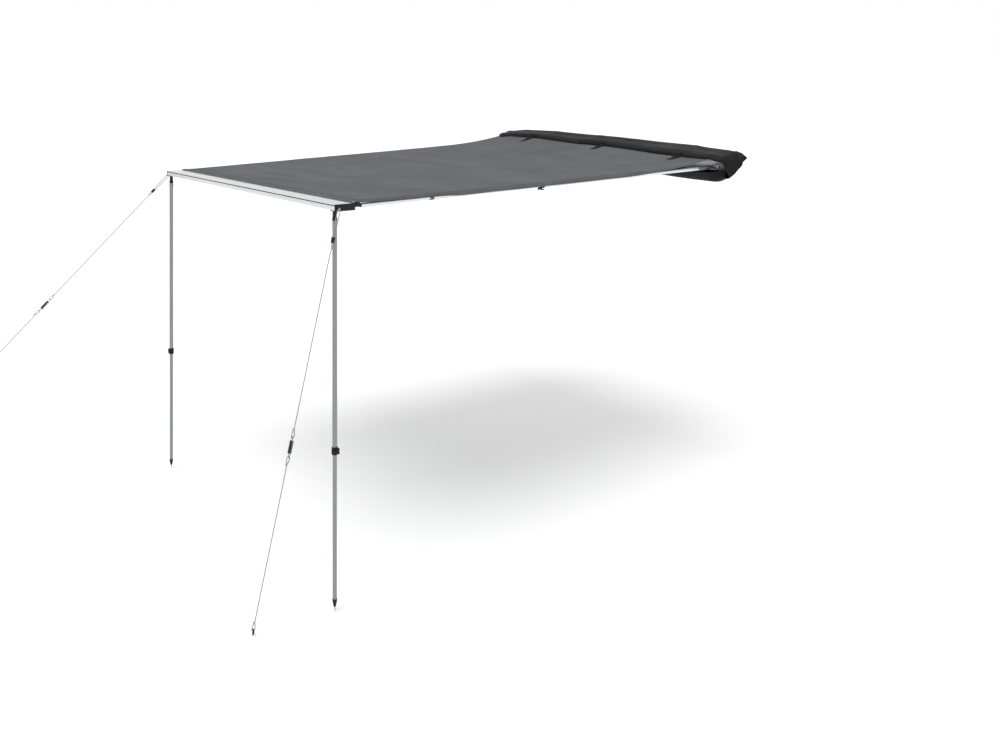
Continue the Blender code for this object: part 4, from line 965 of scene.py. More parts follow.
    def build(self) -> None:
        """Builds and dresses the two lengths of rope, the spring, the runner, the eye and the peg."""
        label = self.side.label
        runner = softened(f"guy_runner_{label}", BLACK_PLASTIC, "front_bar", 0.0004)
        softened(f"guy_eye_{label}", ZINC_STEEL, "front_bar", 0.0002)
        peg = softened(f"guy_peg_{label}", BLACK_STEEL, "front_bar", 0.0004)
        wire = smooth_path(self.spring_route(), 1)
        spring = sweep(f"tension_spring_{label}", wire, self.spring_wire / 2, 10, BLACK_STEEL)
        dress(spring, "front_bar", [f"guy_spring_{label}"])
        for part, route, pieces, end, first in (
            ("upper", self.upper_route(), [runner], "bare", -1),
            ("lower", self.lower_route(), [peg], "fitting", 0),
        ):
            path = smooth_path(route, 4)
            cord = sweep(f"{part}_rope_{label}", path, self.rope / 2, self.rope_sides, GUY_ROPE)
            dress(cord, "front_bar", [f"guy_rope_{part}_{label}"])


@dataclass
class Studio:
    """The camera, the lights and the plain pale floor."""

    image: tuple[int, int] = (1000, 750)
    focal_pixels: float = 1005.7
    azimuth: float = 52.62
    eye: Point = (5.843, -5.468, 0.560)
    horizon: float = 82.6
    sensor: float = 36.0
    sun_strength: float = 1.45
    sun_width: float = 35.0
    sun_turn: Pair = (24.0, 12.0)
    surround: float = 0.44
    floor_glow: float = 0.34
    floor_half: float = 40.0
    floor_gap: float = 0.001
    far_clip: float = 200.0

    def build(self) -> None:
        """Builds the whole studio."""
        self.camera()
        self.lights()
        self.floor()

    def camera(self) -> None:
        """A level camera whose shift keeps the uprights parallel, as in the photograph."""
        width, height = self.image
        data = bpy.data.cameras.new("camera")
        data.lens = self.sensor * self.focal_pixels / width
        data.sensor_width = self.sensor
        data.sensor_fit = "HORIZONTAL"
        data.shift_y = (self.horizon - height / 2) / width
        data.clip_end = self.far_clip
        camera = linked("camera", data)
        camera.location = self.eye
        camera.rotation_euler = (math.pi / 2, 0.0, math.radians(self.azimuth))
        bpy.context.scene.camera = camera
        bpy.context.scene.view_settings.view_transform = "Standard"

    @staticmethod
    def seen(tree: Tree) -> Socket:
        """1 for what the camera sees, straight, in a reflection or through glass, and 0 for other light."""
        path = add_node(tree, "ShaderNodeLightPath").outputs
        direct = add_math(tree, "MAXIMUM", path["Is Camera Ray"], path["Is Glossy Ray"])
        return add_math(tree, "MAXIMUM", direct, path["Is Transmission Ray"])

    def lights(self) -> None:
        """A broad sun from above and a pale surround."""
        sun = bpy.data.lights.new("broad_sun", "SUN")
        sun.energy = self.sun_strength
        sun.angle = math.radians(self.sun_width)
        linked("broad_sun", sun).rotation_euler = (*(math.radians(turn) for turn in self.sun_turn), 0.0)
        world = bpy.data.worlds.new("studio")
        bpy.context.scene.world = world
        tree = fresh_tree(world)
        back = add_node(tree, "ShaderNodeBackground", inputs={
            "Color": linear("#ffffff"), "Strength": remap(tree, self.seen(tree), end=(self.surround, 1.0)),
        })
        add_node(tree, "ShaderNodeOutputWorld", inputs={"Surface": back.outputs["Background"]})

    def floor(self) -> None:
        """A pale floor that keeps the object's shadow."""
        bm = bmesh.new()
        bmesh.ops.create_grid(bm, x_segments=4, y_segments=4, size=self.floor_half)
        bmesh.ops.translate(bm, vec=(0.0, 0.0, GROUND_Z - self.floor_gap), verts=bm.verts)
        floor = linked("floor", filled_mesh("floor", bm))
        material = bpy.data.materials.new("pale_floor")
        tree = fresh_tree(material)
        diffuse = add_node(tree, "ShaderNodeBsdfDiffuse", inputs={"Color": linear("#fbfbfb")}).outputs[0]
        glow = add_node(tree, "ShaderNodeEmission", inputs={
            "Color": linear("#ffffff"), "Strength": self.floor_glow,
        })
        both = add_node(tree, "ShaderNodeAddShader", inputs={0: diffuse, 1: glow.outputs[0]})
        mix = add_node(tree, "ShaderNodeMixShader", inputs={
            0: self.seen(tree), 1: diffuse, 2: both.outputs[0],
        })
        add_node(tree, "ShaderNodeOutputMaterial", inputs={"Surface": mix.outputs[0]})
        floor.data.materials.append(material)


def rumple(x: float, y: float, z: float, scale: float, octaves: int = 4) -> float:
    """A fixed wrinkle field between about -1 and 1."""
    return noise.fractal(Vector((x * scale, y * scale, z * scale)), WRINKLE_FALL, WRINKLE_STEP, octaves)


def ridge(x: float, y: float, z: float, scale: float) -> float:
    """A fixed field of narrow creases, 1 on a crease and 0 away from it."""
    value = abs(noise.noise(Vector((x * scale, y * scale, z * scale))))
    return max(0.0, 1.0 - value * CREASE_SHARPNESS) ** 2


def ramp(value: float, start: float = 0.0, width: float = 1.0) -> float:
    """0 up to the start, 1 from a width past it, and an even curve between."""
    t = min(max((value - start) / width, 0.0), 1.0)
    return t * t * (3 - 2 * t)


@dataclass
class Canopy:
    """The canvas sheet from the lead bar over the rafters to the rail, with its hems and stitching."""

    width: float = 2.470
    bar_keder_y: float = -2.9145
    bar_rear_y: float = -2.906
    bar_top_z: float = -0.064
    bar_slot_z: float = -0.0704
    rail_slot_y: float = -0.0188
    hump_start_y: float = -0.600
    hump_y: float = -0.048
    hump_z: float = 0.076
    hump_tilt: float = 0.024
    hump_least: float = 0.058
    hump_far: float = 0.016
    hump_droop: float = 0.030
    middle_lift: float = 0.013
    over_rafter: float = 0.0202
    over_far_rafter: float = 0.0228
    sag: float = 0.022
    thickness: float = 0.0014
    bead: float = 0.003
    hem: float = 0.028
    stitch: float = 0.007
    columns: int = 150
    rows: int = 190
    slide: float = 0.46
    edge_droop: float = 0.021
    far_droop: float = 0.004
    droop_from: float = 1.205

    def lift(self, x: float) -> float:
        """Height that the folded bag behind the rail adds to the canvas and the lid between their ends."""
        return self.middle_lift * ramp(x, -0.95, 0.5) * ramp(-x, -1.25, 0.35)

    def hump(self, x: float) -> float:
        """Height of the canvas where it passes over the rail's front edge."""
        height = self.hump_z - self.hump_tilt * x + self.lift(x)
        height += self.hump_far * ramp(-x, 0.1, 0.6)
        droop = self.hump_droop * ramp(-x, 0.98, 0.25)
        return max(height - droop, self.hump_least)

    def along(self, y: float) -> float:
        """The share of the way from the lead bar's rear edge to the rail's front edge."""
        return min(max((y - self.bar_rear_y) / (self.hump_y - self.bar_rear_y), 0.0), 1.0)

    def over_rafters(self, x: float, y: float) -> float:
        """Height of the taut canvas over the two rafters, straight from one to the other."""
        heights = []
        for side, clear in ((Side.LEFT, self.over_far_rafter), (Side.RIGHT, self.over_rafter)):
            pivot_z = RAFTER_PIVOT_Z[side]
            fall = (RAFTER_PIVOT_Y - y) * (pivot_z - HOOK_Z) / (RAFTER_PIVOT_Y - HOOK_Y)
            heights.append(pivot_z - fall + clear)
        return heights[0] + (heights[1] - heights[0]) * (x / self.width + 0.5)

    def level(self, x: float, y: float) -> float:
        """Height of the canopy's middle surface without its creases.

        Args:
            x: Place along the vehicle.
            y: Place between the lead bar and the rail.

        Returns:
            The height.
        """
        rise = self.hump(x) - self.over_rafters(x, self.hump_y)
        climb = max(0.0, (y - self.hump_start_y) / (self.hump_y - self.hump_start_y))
        height = self.over_rafters(x, y) + rise * climb ** 2
        front = self.bar_top_z + 0.0065
        height = 0.5 * (height + front + math.sqrt((height - front) ** 2 + 0.004 ** 2))
        along = self.along(y)
        window = (1 - (2 * x / self.width) ** 2) * math.sin(math.pi * along)
        folds = 0.004 * math.sin(9 * x + 4 * y) + 0.003 * math.sin(5 * y - 7 * x)
        past_rafter = max(0.0, abs(x) - self.droop_from) / (self.width / 2 - self.droop_from)
        slack = 0.45 + 0.55 * ramp(y, -2.42, 0.22)
        slack *= ramp(along * 60) * ramp(-y, 0.35, 0.60)
        droop = self.edge_droop if x > 0 else self.far_droop
        return height - window * (self.sag + folds) - droop * past_rafter ** 2 * slack

    def surface(self, x: float, y: float) -> float:
        """Height of the canopy's middle surface with its creases and ripples."""
        along = self.along(y)
        near_ends = ramp(along * 9) * ramp((1 - along) * 6)
        near_sides = ramp(self.width / 2 - abs(x), 0.0, 0.10)
        soft = 0.0036 * rumple(x, y * 0.6, 0.3, 3.0) + 0.0034 * ridge(x * 0.5, y, 7.7, 2.6)
        diagonal = 0.0030 * ridge(x + y * 0.7, x * 0.4 - y, 3.1, 1.6)
        scallops = 0.0035 * math.sin(17 * x + 0.6 * math.sin(5 * x))
        scallops *= math.exp(-along * 22) * ramp(along * 60)
        creases = (soft + diagonal) * near_ends * (0.2 + 0.8 * near_sides) + scallops
        return self.level(x, y) + creases

    def line(self, x: float) -> list[Vector]:
        """The sheet's points at one place along the vehicle, from the lead bar's slot to the rail's."""
        keder_y, top_z, slot_y = self.bar_keder_y, self.bar_top_z, self.rail_slot_y
        start = self.bar_rear_y + 0.012
        middle = (start + (self.hump_y - start) * i / self.rows for i in range(self.rows + 1))
        return [Vector((x, y, z)) for y, z in (
            (keder_y, self.bar_slot_z), (keder_y, top_z + 0.001), (keder_y + 0.002, top_z + 0.005),
            (keder_y + 0.006, top_z + 0.0075),
            *((y, self.surface(x, y)) for y in middle),
            (-0.034, self.hump(x) - 0.002), (slot_y - 0.005, RAIL_TOP_Z + 0.016),
            (slot_y, RAIL_TOP_Z + 0.006), (slot_y, RAIL_TOP_Z - BEAD_DEPTH),
        )]

    def squash(self, piece: Piece) -> Piece:
        """Gives a piece its own copy of its mesh."""
        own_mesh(piece)
        return piece

    def build(self) -> None:
        """Builds the sheet, its hems, its beads and its stitching."""
        half = self.width / 2
        places = (2 * i / self.columns - 1 for i in range(self.columns + 1))
        lines = [self.line(half * math.copysign(abs(t) ** 0.9, t)) for t in places]
        sheet = grid_sheet("canopy_sheet", lines, self.thickness, CANOPY_CANVAS)
        self.squash(dress(sheet, "vehicle_rail", ["canopy"]))
        trims = [self.hems(half), self.beads(half), self.stitches(half)]

    def trim(self, name: str, bm: BMesh) -> Piece:
        """Turns a bmesh to a canvas piece on the rail, with its own mesh."""
        return self.squash(dress(mesh_object(name, bm, CANOPY_CANVAS), "vehicle_rail"))

    def hems(self, half: float) -> Piece:
        """The folded hems along both side edges, a second layer of canvas."""
        bm = bmesh.new()
        up = Vector((0, 0, self.thickness))
        for sign in (-1, 1):
            outer = self.line(sign * (half + 0.0008))[4:-4]
            inner = self.line(sign * (half - self.hem))[4:-4]
            strips = []
            for a, b in zip(outer, inner):
                strips.append([bm.verts.new(p) for p in (a - up, a + up, b + up * 0.85, b + up * 0.3)])
            for first, second in zip(strips, strips[1:]):
                for k in range(4):
                    m = (k + 1) % 4
                    bm.faces.new((first[k], first[m], second[m], second[k]))
            bm.faces.new(strips[0])
            bm.faces.new(list(reversed(strips[-1])))
        bmesh.ops.recalc_face_normals(bm, faces=bm.faces)
        uv = bm.loops.layers.uv.new("UVMap")
        for face in bm.faces:
            for loop in face.loops:
                loop[uv].uv = loop.vert.co.xy
        return self.trim("canopy_side_hems", bm)

    def beads(self, half: float) -> Piece:
        """The round beads that the slots of the lead bar and the rail hold."""
        bm = bmesh.new()
        for y, z in ((self.bar_keder_y, self.bar_slot_z), (self.rail_slot_y, RAIL_TOP_Z - BEAD_DEPTH)):
            place = Matrix.Translation((-half, y, z)) @ Matrix.Rotation(math.pi / 2, 4, "Y")
            lathe(bm, [(0, 0), (self.bead, 0), (self.bead, 2 * half), (0, 2 * half)], place, 12)
        return self.trim("canopy_beads", bm)

    def stitches(self, half: float) -> Piece:
        """Two rows of stitches on each side hem and two along the front hem."""
        raised = Vector((0, 0, self.thickness * 0.95))
        lift = self.thickness / 2 + 0.0006
        lines = []
        for sign in (-1, 1):
            for inset in (0.006, self.hem - 0.005):
                lines.append([p + raised for p in self.line(sign * (half - inset))[4:-4:2]])
        steps = 120
        places = [(2 * i / steps - 1) * (half - self.hem) for i in range(steps + 1)]
        for y in (self.bar_rear_y + 0.035, self.bar_rear_y + 0.043):
            lines.append([Vector((x, y, self.surface(x, y) + lift)) for x in places])
        thread = Boxes("hem_stitches", CANVAS_THREAD, (self.stitch * 0.7, 0.0011, 0.0009), self.stitch)
        return self.squash(thread.along("canopy_stitches", lines, "vehicle_rail"))


@dataclass
class StorageBag:
    """The opened vinyl bag: its lid over the rail and canopy, its sling under the rail, and its straps."""

    canopy: Canopy
    half_length: float = 1.360
    left_cut: float = 0.076
    sling_left_cut: float = 0.052
    right_cut: float = 0.028
    thickness: float = 0.0018
    depth: float = 0.118
    near_depth: float = 0.165
    top: float = 0.129
    tilt: float = 0.026
    crown_y: float = -0.026
    drop: float = 0.105
    lid_slot_y: float = -0.0062
    sling_slot_y: float = -0.0125
    end_steps: int = 22
    ear: float = 0.064
    bulge: float = 0.058
    far_ear: float = 0.004
    far_bulge: float = 0.010
    panel_area: float = 2 * 0.20 * 0.17
    panel_length: float = 0.36
    strap_spacing: float = 0.850
    strap_shift: float = 0.135
    strap_width: float = 0.030
    strap_thickness: float = 0.0018
    strap_laid: float = 0.095
    strap_columns: int = 6
    strap_steps: int = 16
    tape: float = 0.0026
    tape_sides: int = 8
    tooth: float = 0.0040
    stitch: float = 0.0068
    stations: int = 190

    def lip(self, x: float) -> Vector:
        """The lid's front edge, which rests on the canopy inside its width and droops outside it."""
        near, far = ramp(x, 0.2, 0.9), ramp(-x, 1.13, 0.16)
        y = -self.depth + (self.depth - self.near_depth) * near + 0.088 * far
        y += (0.005 * math.sin(6.1 * x + 0.4) + 0.002 * math.sin(14 * x)) * (1 - far)
        inside = min(abs(x), self.canopy.width / 2)
        rest = self.canopy.level(math.copysign(inside, x), y) + 0.0045
        past = max(0.0, abs(x) - self.canopy.width / 2)
        wave = 0.0030 * (1 + math.sin(9.0 * x + 1.1)) * ramp(self.half_length - abs(x), 0.0, 0.2)
        return Vector((x, y, rest + wave - past * 0.15))

    def lid_profile(self, x: float) -> list[Vector]:
        """The lid's points at one place along the vehicle, from its slot over the top to its lip."""
        lip = self.lip(x)
        near = ramp(abs(x), 1.20, 0.16)
        far = 0.020 * ramp(-x, 0.85, 0.30) + 0.062 * ramp(-x, 1.14, 0.15)
        top = self.top - self.tilt * x + 0.0035 * rumple(x, 0.0, 0.0, 2.0, 2) - far + self.canopy.lift(x)
        high, low = top - 0.022, lip.z + 0.020
        fall = ((0.38, 0.28, 0.010), (0.72, 0.66, 0.008), (0.94, 0.92, -0.004))
        path = smooth_path([Vector((x, y, z)) for y, z in (
            (self.lid_slot_y, RAIL_TOP_Z - BEAD_DEPTH), (self.lid_slot_y, RAIL_TOP_Z + 0.004),
            (0.004, RAIL_TOP_Z + 0.020), (0.011, high - 0.012), (-0.002, top - 0.005), (self.crown_y, top),
            *((self.crown_y + (lip.y - self.crown_y) * out, high + (low - high) * down + rise)
              for out, down, rise in fall),
            (lip.y, lip.z),
        )], 5)
        folded = []
        for k, point in enumerate(path):
            share = k / (len(path) - 1)
            free = ramp(share, 0.12, 0.2) * ramp(1 - share, 0.0, 0.12)
            crease = 0.0034 * rumple(point.x * 0.6, point.y * 3.0, point.z * 3.0, 4.2)
            crease += 0.0040 * ridge(point.x * 0.5 + point.y, point.y * 2, point.z * 2, 3.6)
            crumple = 0.011 * near * rumple(point.x * 2, point.y * 3, point.z * 3, 6.0)
            folded.append(point + Vector((0, -0.6, 0.8)) * (crease + crumple) * free)
        return folded

    def lid_end(self, sign: int, edge: Line) -> list[list[Vector]]:
        """The crumpled panel that closes one end of the lid.

        Args:
            sign: 1 for the right end and -1 for the left one.
            edge: The lid's last profile, from its slot to its lip.

        Returns:
            The panel's grid, whose first row is that profile.
        """
        end_x = edge[0].x
        lowest = Vector((end_x - sign * 0.010, -0.066, -0.088 if sign > 0 else -0.070))
        slot = Vector((end_x - sign * 0.012, self.lid_slot_y, -0.020))
        ear, bulge = (self.ear, self.bulge) if sign > 0 else (self.far_ear, self.far_bulge)
        knee = 0.55
        rows = []
        for j in range(self.end_steps + 1):
            v = j / self.end_steps
            row = []
            for k, top in enumerate(edge):
                u = k / (len(edge) - 1)
                low = slot.lerp(lowest, ramp(u, 0.0, knee))
                if u >= knee:
                    low = lowest.lerp(edge[-1], ramp(u, knee, 0.45))
                point = top.lerp(low, v)
                swell = math.sin(math.pi * v) ** 0.8 * math.sin(math.pi * min(u * 1.1, 1.0))
                folds = 0.010 * math.sin(17 * u + 5 * v) + 0.012 * rumple(u * 1.3, v, sign * 2.0, 4.2)
                corner = ear * math.exp(-((u - 0.31) / 0.13) ** 2 - ((v - 0.08) / 0.17) ** 2)
                point.x += sign * (swell * (bulge + folds) + corner)
                row.append(point)
            rows.append(row)
        return rows

    def sling_profile(self, x: float) -> list[Vector]:
        """The sling's points at one place along the vehicle, from its slot under the rail to its lip."""
        ends = ramp(abs(x), 1.22 if x > 0 else 1.14, 0.11)
        lift = 0.046 * ends ** 2
        sag = 0.004 * rumple(x, 0.0, 3.0, 1.6, 3) - 0.018 * ramp(x, 0.5, 0.7)
        slot_y, base, drop = self.sling_slot_y, -RAIL_TOP_Z, self.drop
        path = smooth_path([Vector((x, y, z)) for y, z in (
            (slot_y, base + BEAD_DEPTH), (slot_y, base - 0.004), (slot_y - 0.006, base - 0.022),
            (-0.046, 0.006 - drop + lift * 0.5 + sag), (-0.090, -drop + lift * 0.7 + sag),
            (-0.130 + 0.035 * ends, 0.014 - drop + lift * 0.8 + sag),
            (-0.160 + 0.070 * ends, 0.043 - drop + lift * 0.6 + 0.006 * math.sin(7 * x)),
        )], 6)
        folded = []
        for k, point in enumerate(path):
            free = ramp(k / (len(path) - 1), 0.2, 0.2)
            crease = 0.003 * rumple(point.x * 0.7, point.y * 2.2, 5.0, 4.0)
            folded.append(point + Vector((0, 0.3, -1.0)) * (crease * free))
        return folded

    def places(self, left_cut: float, right_cut: float) -> list[float]:
        """Even places along the bag, whose two ends are cut short."""
        span = 2 * self.half_length - left_cut - right_cut
        left = left_cut - self.half_length
        return [left + span * i / self.stations for i in range(self.stations + 1)]

    def build(self) -> None:
        """Builds the lid, the sling, their binding, zips and straps."""
        rows = [self.lid_profile(x) for x in self.places(self.left_cut, 0.0)]
        panels = self.lid_end(-1, rows[0])[:0:-1], self.lid_end(1, rows[-1])[1:]
        lid = grid_sheet("bag_lid_cover", panels[0] + rows + panels[1], self.thickness, BAG_VINYL)
        dress(lid, "vehicle_rail", ["bag_lid"])
        sling_rows = [self.sling_profile(x) for x in self.places(self.sling_left_cut, self.right_cut)]
        sling = grid_sheet("bag_sling_cover", sling_rows, self.thickness, BAG_VINYL)
        dress(sling, "vehicle_rail", ["bag_sling"])
        lid_edge, sling_edge = [row[-1] for row in rows], [row[-1] for row in sling_rows]
        lid_trims = [self.binding("bag_lid_binding", lid_edge), self.seam(rows)]
        sling_trims = [self.binding("bag_sling_binding", sling_edge)]
        lid_trims.append(self.zip_teeth("bag_lid_zip", lid_edge, Vector((0, -0.0034, -0.0010))))
        sling_trims.append(self.zip_teeth("bag_sling_zip", sling_edge, Vector((0, -0.0022, 0.0026))))
        for label, place in (("left", -1), ("middle", 0), ("right", 1)):
            self.strap(label, self.strap_shift + place * self.strap_spacing)

    def binding(self, name: str, edge: Line) -> Piece:
        """A rolled tape over an edge of the vinyl."""
        tape = sweep(name, edge, self.tape, self.tape_sides, STRAP_WEBBING)
        return dress(tape, "vehicle_rail")

    def zip_teeth(self, name: str, edge: Line, shift: Vector) -> Piece:
        """The zip's moulded teeth along an edge, drawn a little coarse so that they show."""
        teeth = Boxes(f"{name}_teeth", BLACK_PLASTIC, (self.tooth * 0.55, 0.0050, 0.0022), self.tooth)
        return teeth.along(name, [[point + shift for point in edge]], "vehicle_rail")

    def seam(self, rows: Sequence[Line]) -> Piece:
        """Stitches beside the lid's front edge and round its end seams."""
        front = [row[-3] + Vector((0, -0.0010, 0.0016)) for row in rows]
        left = [p + Vector((0.010, 0, 0.0016)) for p in rows[1][8:]]
        right = [p + Vector((-0.010, 0, 0.0016)) for p in rows[-2][8:]]
        thread = Boxes("lid_stitches", VINYL_THREAD, (0.0045, 0.0011, 0.0011), self.stitch)
        return thread.along("bag_lid_stitches", [front, left, right], "vehicle_rail")

    def strap(self, label: str, x: float) -> None:
        """One tie strap: sewn to the lid's face, it hangs over the lip and lies on the canopy.

        Args:
            label: The end of the strap's name.
            x: Its place along the vehicle.
        """
        rows = []
        for centre, narrow, raised in self.strap_route(x):
            row = []
            for k in range(self.strap_columns + 1):
                across = k / self.strap_columns - 0.5
                bow = 0.0012 * (1 - 4 * across * across)
                shift = Vector((across * self.strap_width * narrow, 0.0, 0.0))
                row.append(centre + shift + Vector((0.0, 0.0, bow - across * raised)))
            rows.append(row)
        strap = grid_sheet(f"tie_strap_{label}", rows, self.strap_thickness, STRAP_WEBBING)
        self.canopy.squash(dress(strap, "vehicle_rail", [f"bag_strap_{label}"]))
        box = rows[-12:-3]
        seams = [[row[1], row[-2]] for row in (box[0], box[-1])] + [[row[k] for row in box] for k in (1, -2)]
        lines = [[p + Vector((0, 0, 0.0012)) for p in line] for line in seams]
        thread = Boxes(f"strap_stitches_{label}", VINYL_THREAD, (0.0022, 0.0008, 0.0007), 0.0032)
        stitches = self.canopy.squash(thread.along(f"strap_stitches_{label}", lines, "vehicle_rail"))

    def strap_route(self, x: float) -> list[tuple[Vector, float, float]]:
        """A strap's middle line with its width and its twist.

        Args:
            x: The strap's place along the vehicle.

        Returns:
            For each station: its place, the share of the full width, and how far one edge is raised.
        """
        face = self.lid_profile(x)
        lip = face[-1]
        points = [point + Vector((0.0, -0.55, 0.84)) * 0.0036 for point in face[int(len(face) * 0.86):-1]]
        for i in range(1, self.strap_steps + 1):
            t = i / self.strap_steps
            y = lip.y - 0.010 - self.strap_laid * t
            place = x - 0.022 * t * t
            curl = 0.006 * ramp(t, 0.70, 0.30) + 0.007 * math.sin(math.pi * min(t * 1.6, 1.0))
            points.append(Vector((place, y, self.canopy.surface(place, y) + 0.0034 + curl)))
        path = smooth_path(points, 2)
        route = []
        for i, point in enumerate(path):
            t = i / (len(path) - 1)
            raised = 0.010 * math.sin(math.pi * ramp(t, 0.25, 0.70))
            route.append((point, 1 - 0.25 * ramp(t, 0.85, 0.15), raised))
        return route


@dataclass
class Clamp:
    """A flip-lever clamp: a moulded collar with two lugs, and a lever on a stud between them.

    Its own axes: Z along the tube to the outer tube's side, X out through the lever.
    """

    label: str
    place: Matrix
    collar_body: str
    lever_body: str
    ribs_along: int
    radius: float = 0.0165
    bore: float = 0.0128
    inner_bore: float = 0.0113
    half: float = 0.020
    lever_half: float = 0.008
    lug: float = 0.005
    hub: Pair = (0.0215, 0.012)
    stud: float = 0.002
    lever_top: float = 0.0031
    rib_height: float = 0.0016
    ridge_height: float = 0.0012

    def build(self) -> None:
        """Builds the collar with its grip ribs, and the lever."""
        self.collar()
        self.ribs()
        self.lever()

    def named(self, part: str) -> str:
        """The name of this clamp's collar or lever among the nodes."""
        return self.label.replace("_", f"_{part}_", 1)

    def box(self, thick: float, high: float, long: float) -> Point:
        """A rib's size, as long as given along the tube."""
        return (thick, high, long) if self.ribs_along == 2 else (thick, long, high)

    def collar(self) -> None:
        """The collar with its lugs, in one moulding."""
        r, h = self.radius, self.half
        lip = [
            (r - 0.0022, h), (r - 0.0006, h - 0.0010), (r, h - 0.0030), (r, h - 0.0070),
            (r - 0.0010, h - 0.0080),
        ]
        bm = bmesh.new()
        lathe(bm, [
            *lip, *((radius, -z) for radius, z in reversed(lip)),
            (self.inner_bore + 0.0004, -h), (self.inner_bore, 0.0004 - h),
            (self.inner_bore, 0.0), (self.bore, 0.0), (self.bore, h - 0.0004), (self.bore + 0.0004, h),
        ], self.place, 64)
        x, y = self.hub
        low = self.lever_half + 0.0003
        outline = [(self.bore + 0.0012, y - 0.0046)]
        outline += [(x + self.lug * c, y + self.lug * s) for c, s in arc(12, -90, 180)]
        outline += [(self.bore - 0.0060, y + 0.0046)]
        for sign in (-1, 1):
            extruded(bm, outline, (sign * low, sign * (low + self.lug)), self.place)
        name = self.named("clamp")
        moulding = rounded(mesh_object(f"{name}_collar", bm, BLACK_PLASTIC, SHARP_TURNED), 0.0004)
        dress(moulding, self.collar_body, [name])

    def ribs(self) -> None:
        """Grip ribs round the collar, left out where the lever lies."""
        radius = self.radius - 0.0008
        line = [self.place @ Vector((radius * c, radius * s, 0.0)) for c, s in arc(60, 62, 236)]
        shape = self.box(0.0013, self.rib_height, 2 * self.half - 0.018)
        ribs = Boxes(f"{self.label}_grip_ribs", BLACK_PLASTIC, shape, 0.0034)
        ribs.along(f"{self.label}_clamp_ribs", [line], self.collar_body)

    def lever(self) -> None:
        """The lever: a curved arm with a lip at its tip, finger ridges, and its stud."""
        pivot = self.place @ Matrix.Translation((*self.hub, 0.0))
        outline = [(self.lever_top * c, self.lever_top * s) for c, s in arc(10, 0, 180)] + [
            (-0.0026, -0.004), (-0.0022, -0.014), (-0.0015, -0.022), (-0.0004, -0.029), (0.0014, -0.0322),
            (0.0034, -0.0332), (0.0044, -0.0324), (0.0040, -0.0306), (0.0032, -0.0270), (0.0029, -0.0200),
            (0.0027, -0.0100), (0.0029, -0.0030),
        ]
        bm = bmesh.new()
        extruded(bm, outline, (-self.lever_half, self.lever_half), pivot)
        reach = self.lever_half + self.lug
        lathe(bm, [(0, -reach), (self.stud, -reach), (self.stud, reach), (0, reach)], pivot, 24)
        name = self.named("lever")
        arm = rounded(mesh_object(f"{name}_arm", bm, BLACK_PLASTIC, SHARP_TURNED), 0.0005)
        dress(arm, self.lever_body, [name])
        line = [pivot @ Vector((0.0029, -0.010 - 0.0015 * i, 0.0)) for i in range(10)]
        shape = self.box(0.0009, self.ridge_height, 2 * self.lever_half - 0.004)
        ridges = Boxes(f"{self.label}_finger_ridges", BLACK_PLASTIC, shape, 0.0026)
        ridges.along(f"{self.label}_lever_ridges", [line], self.lever_body)


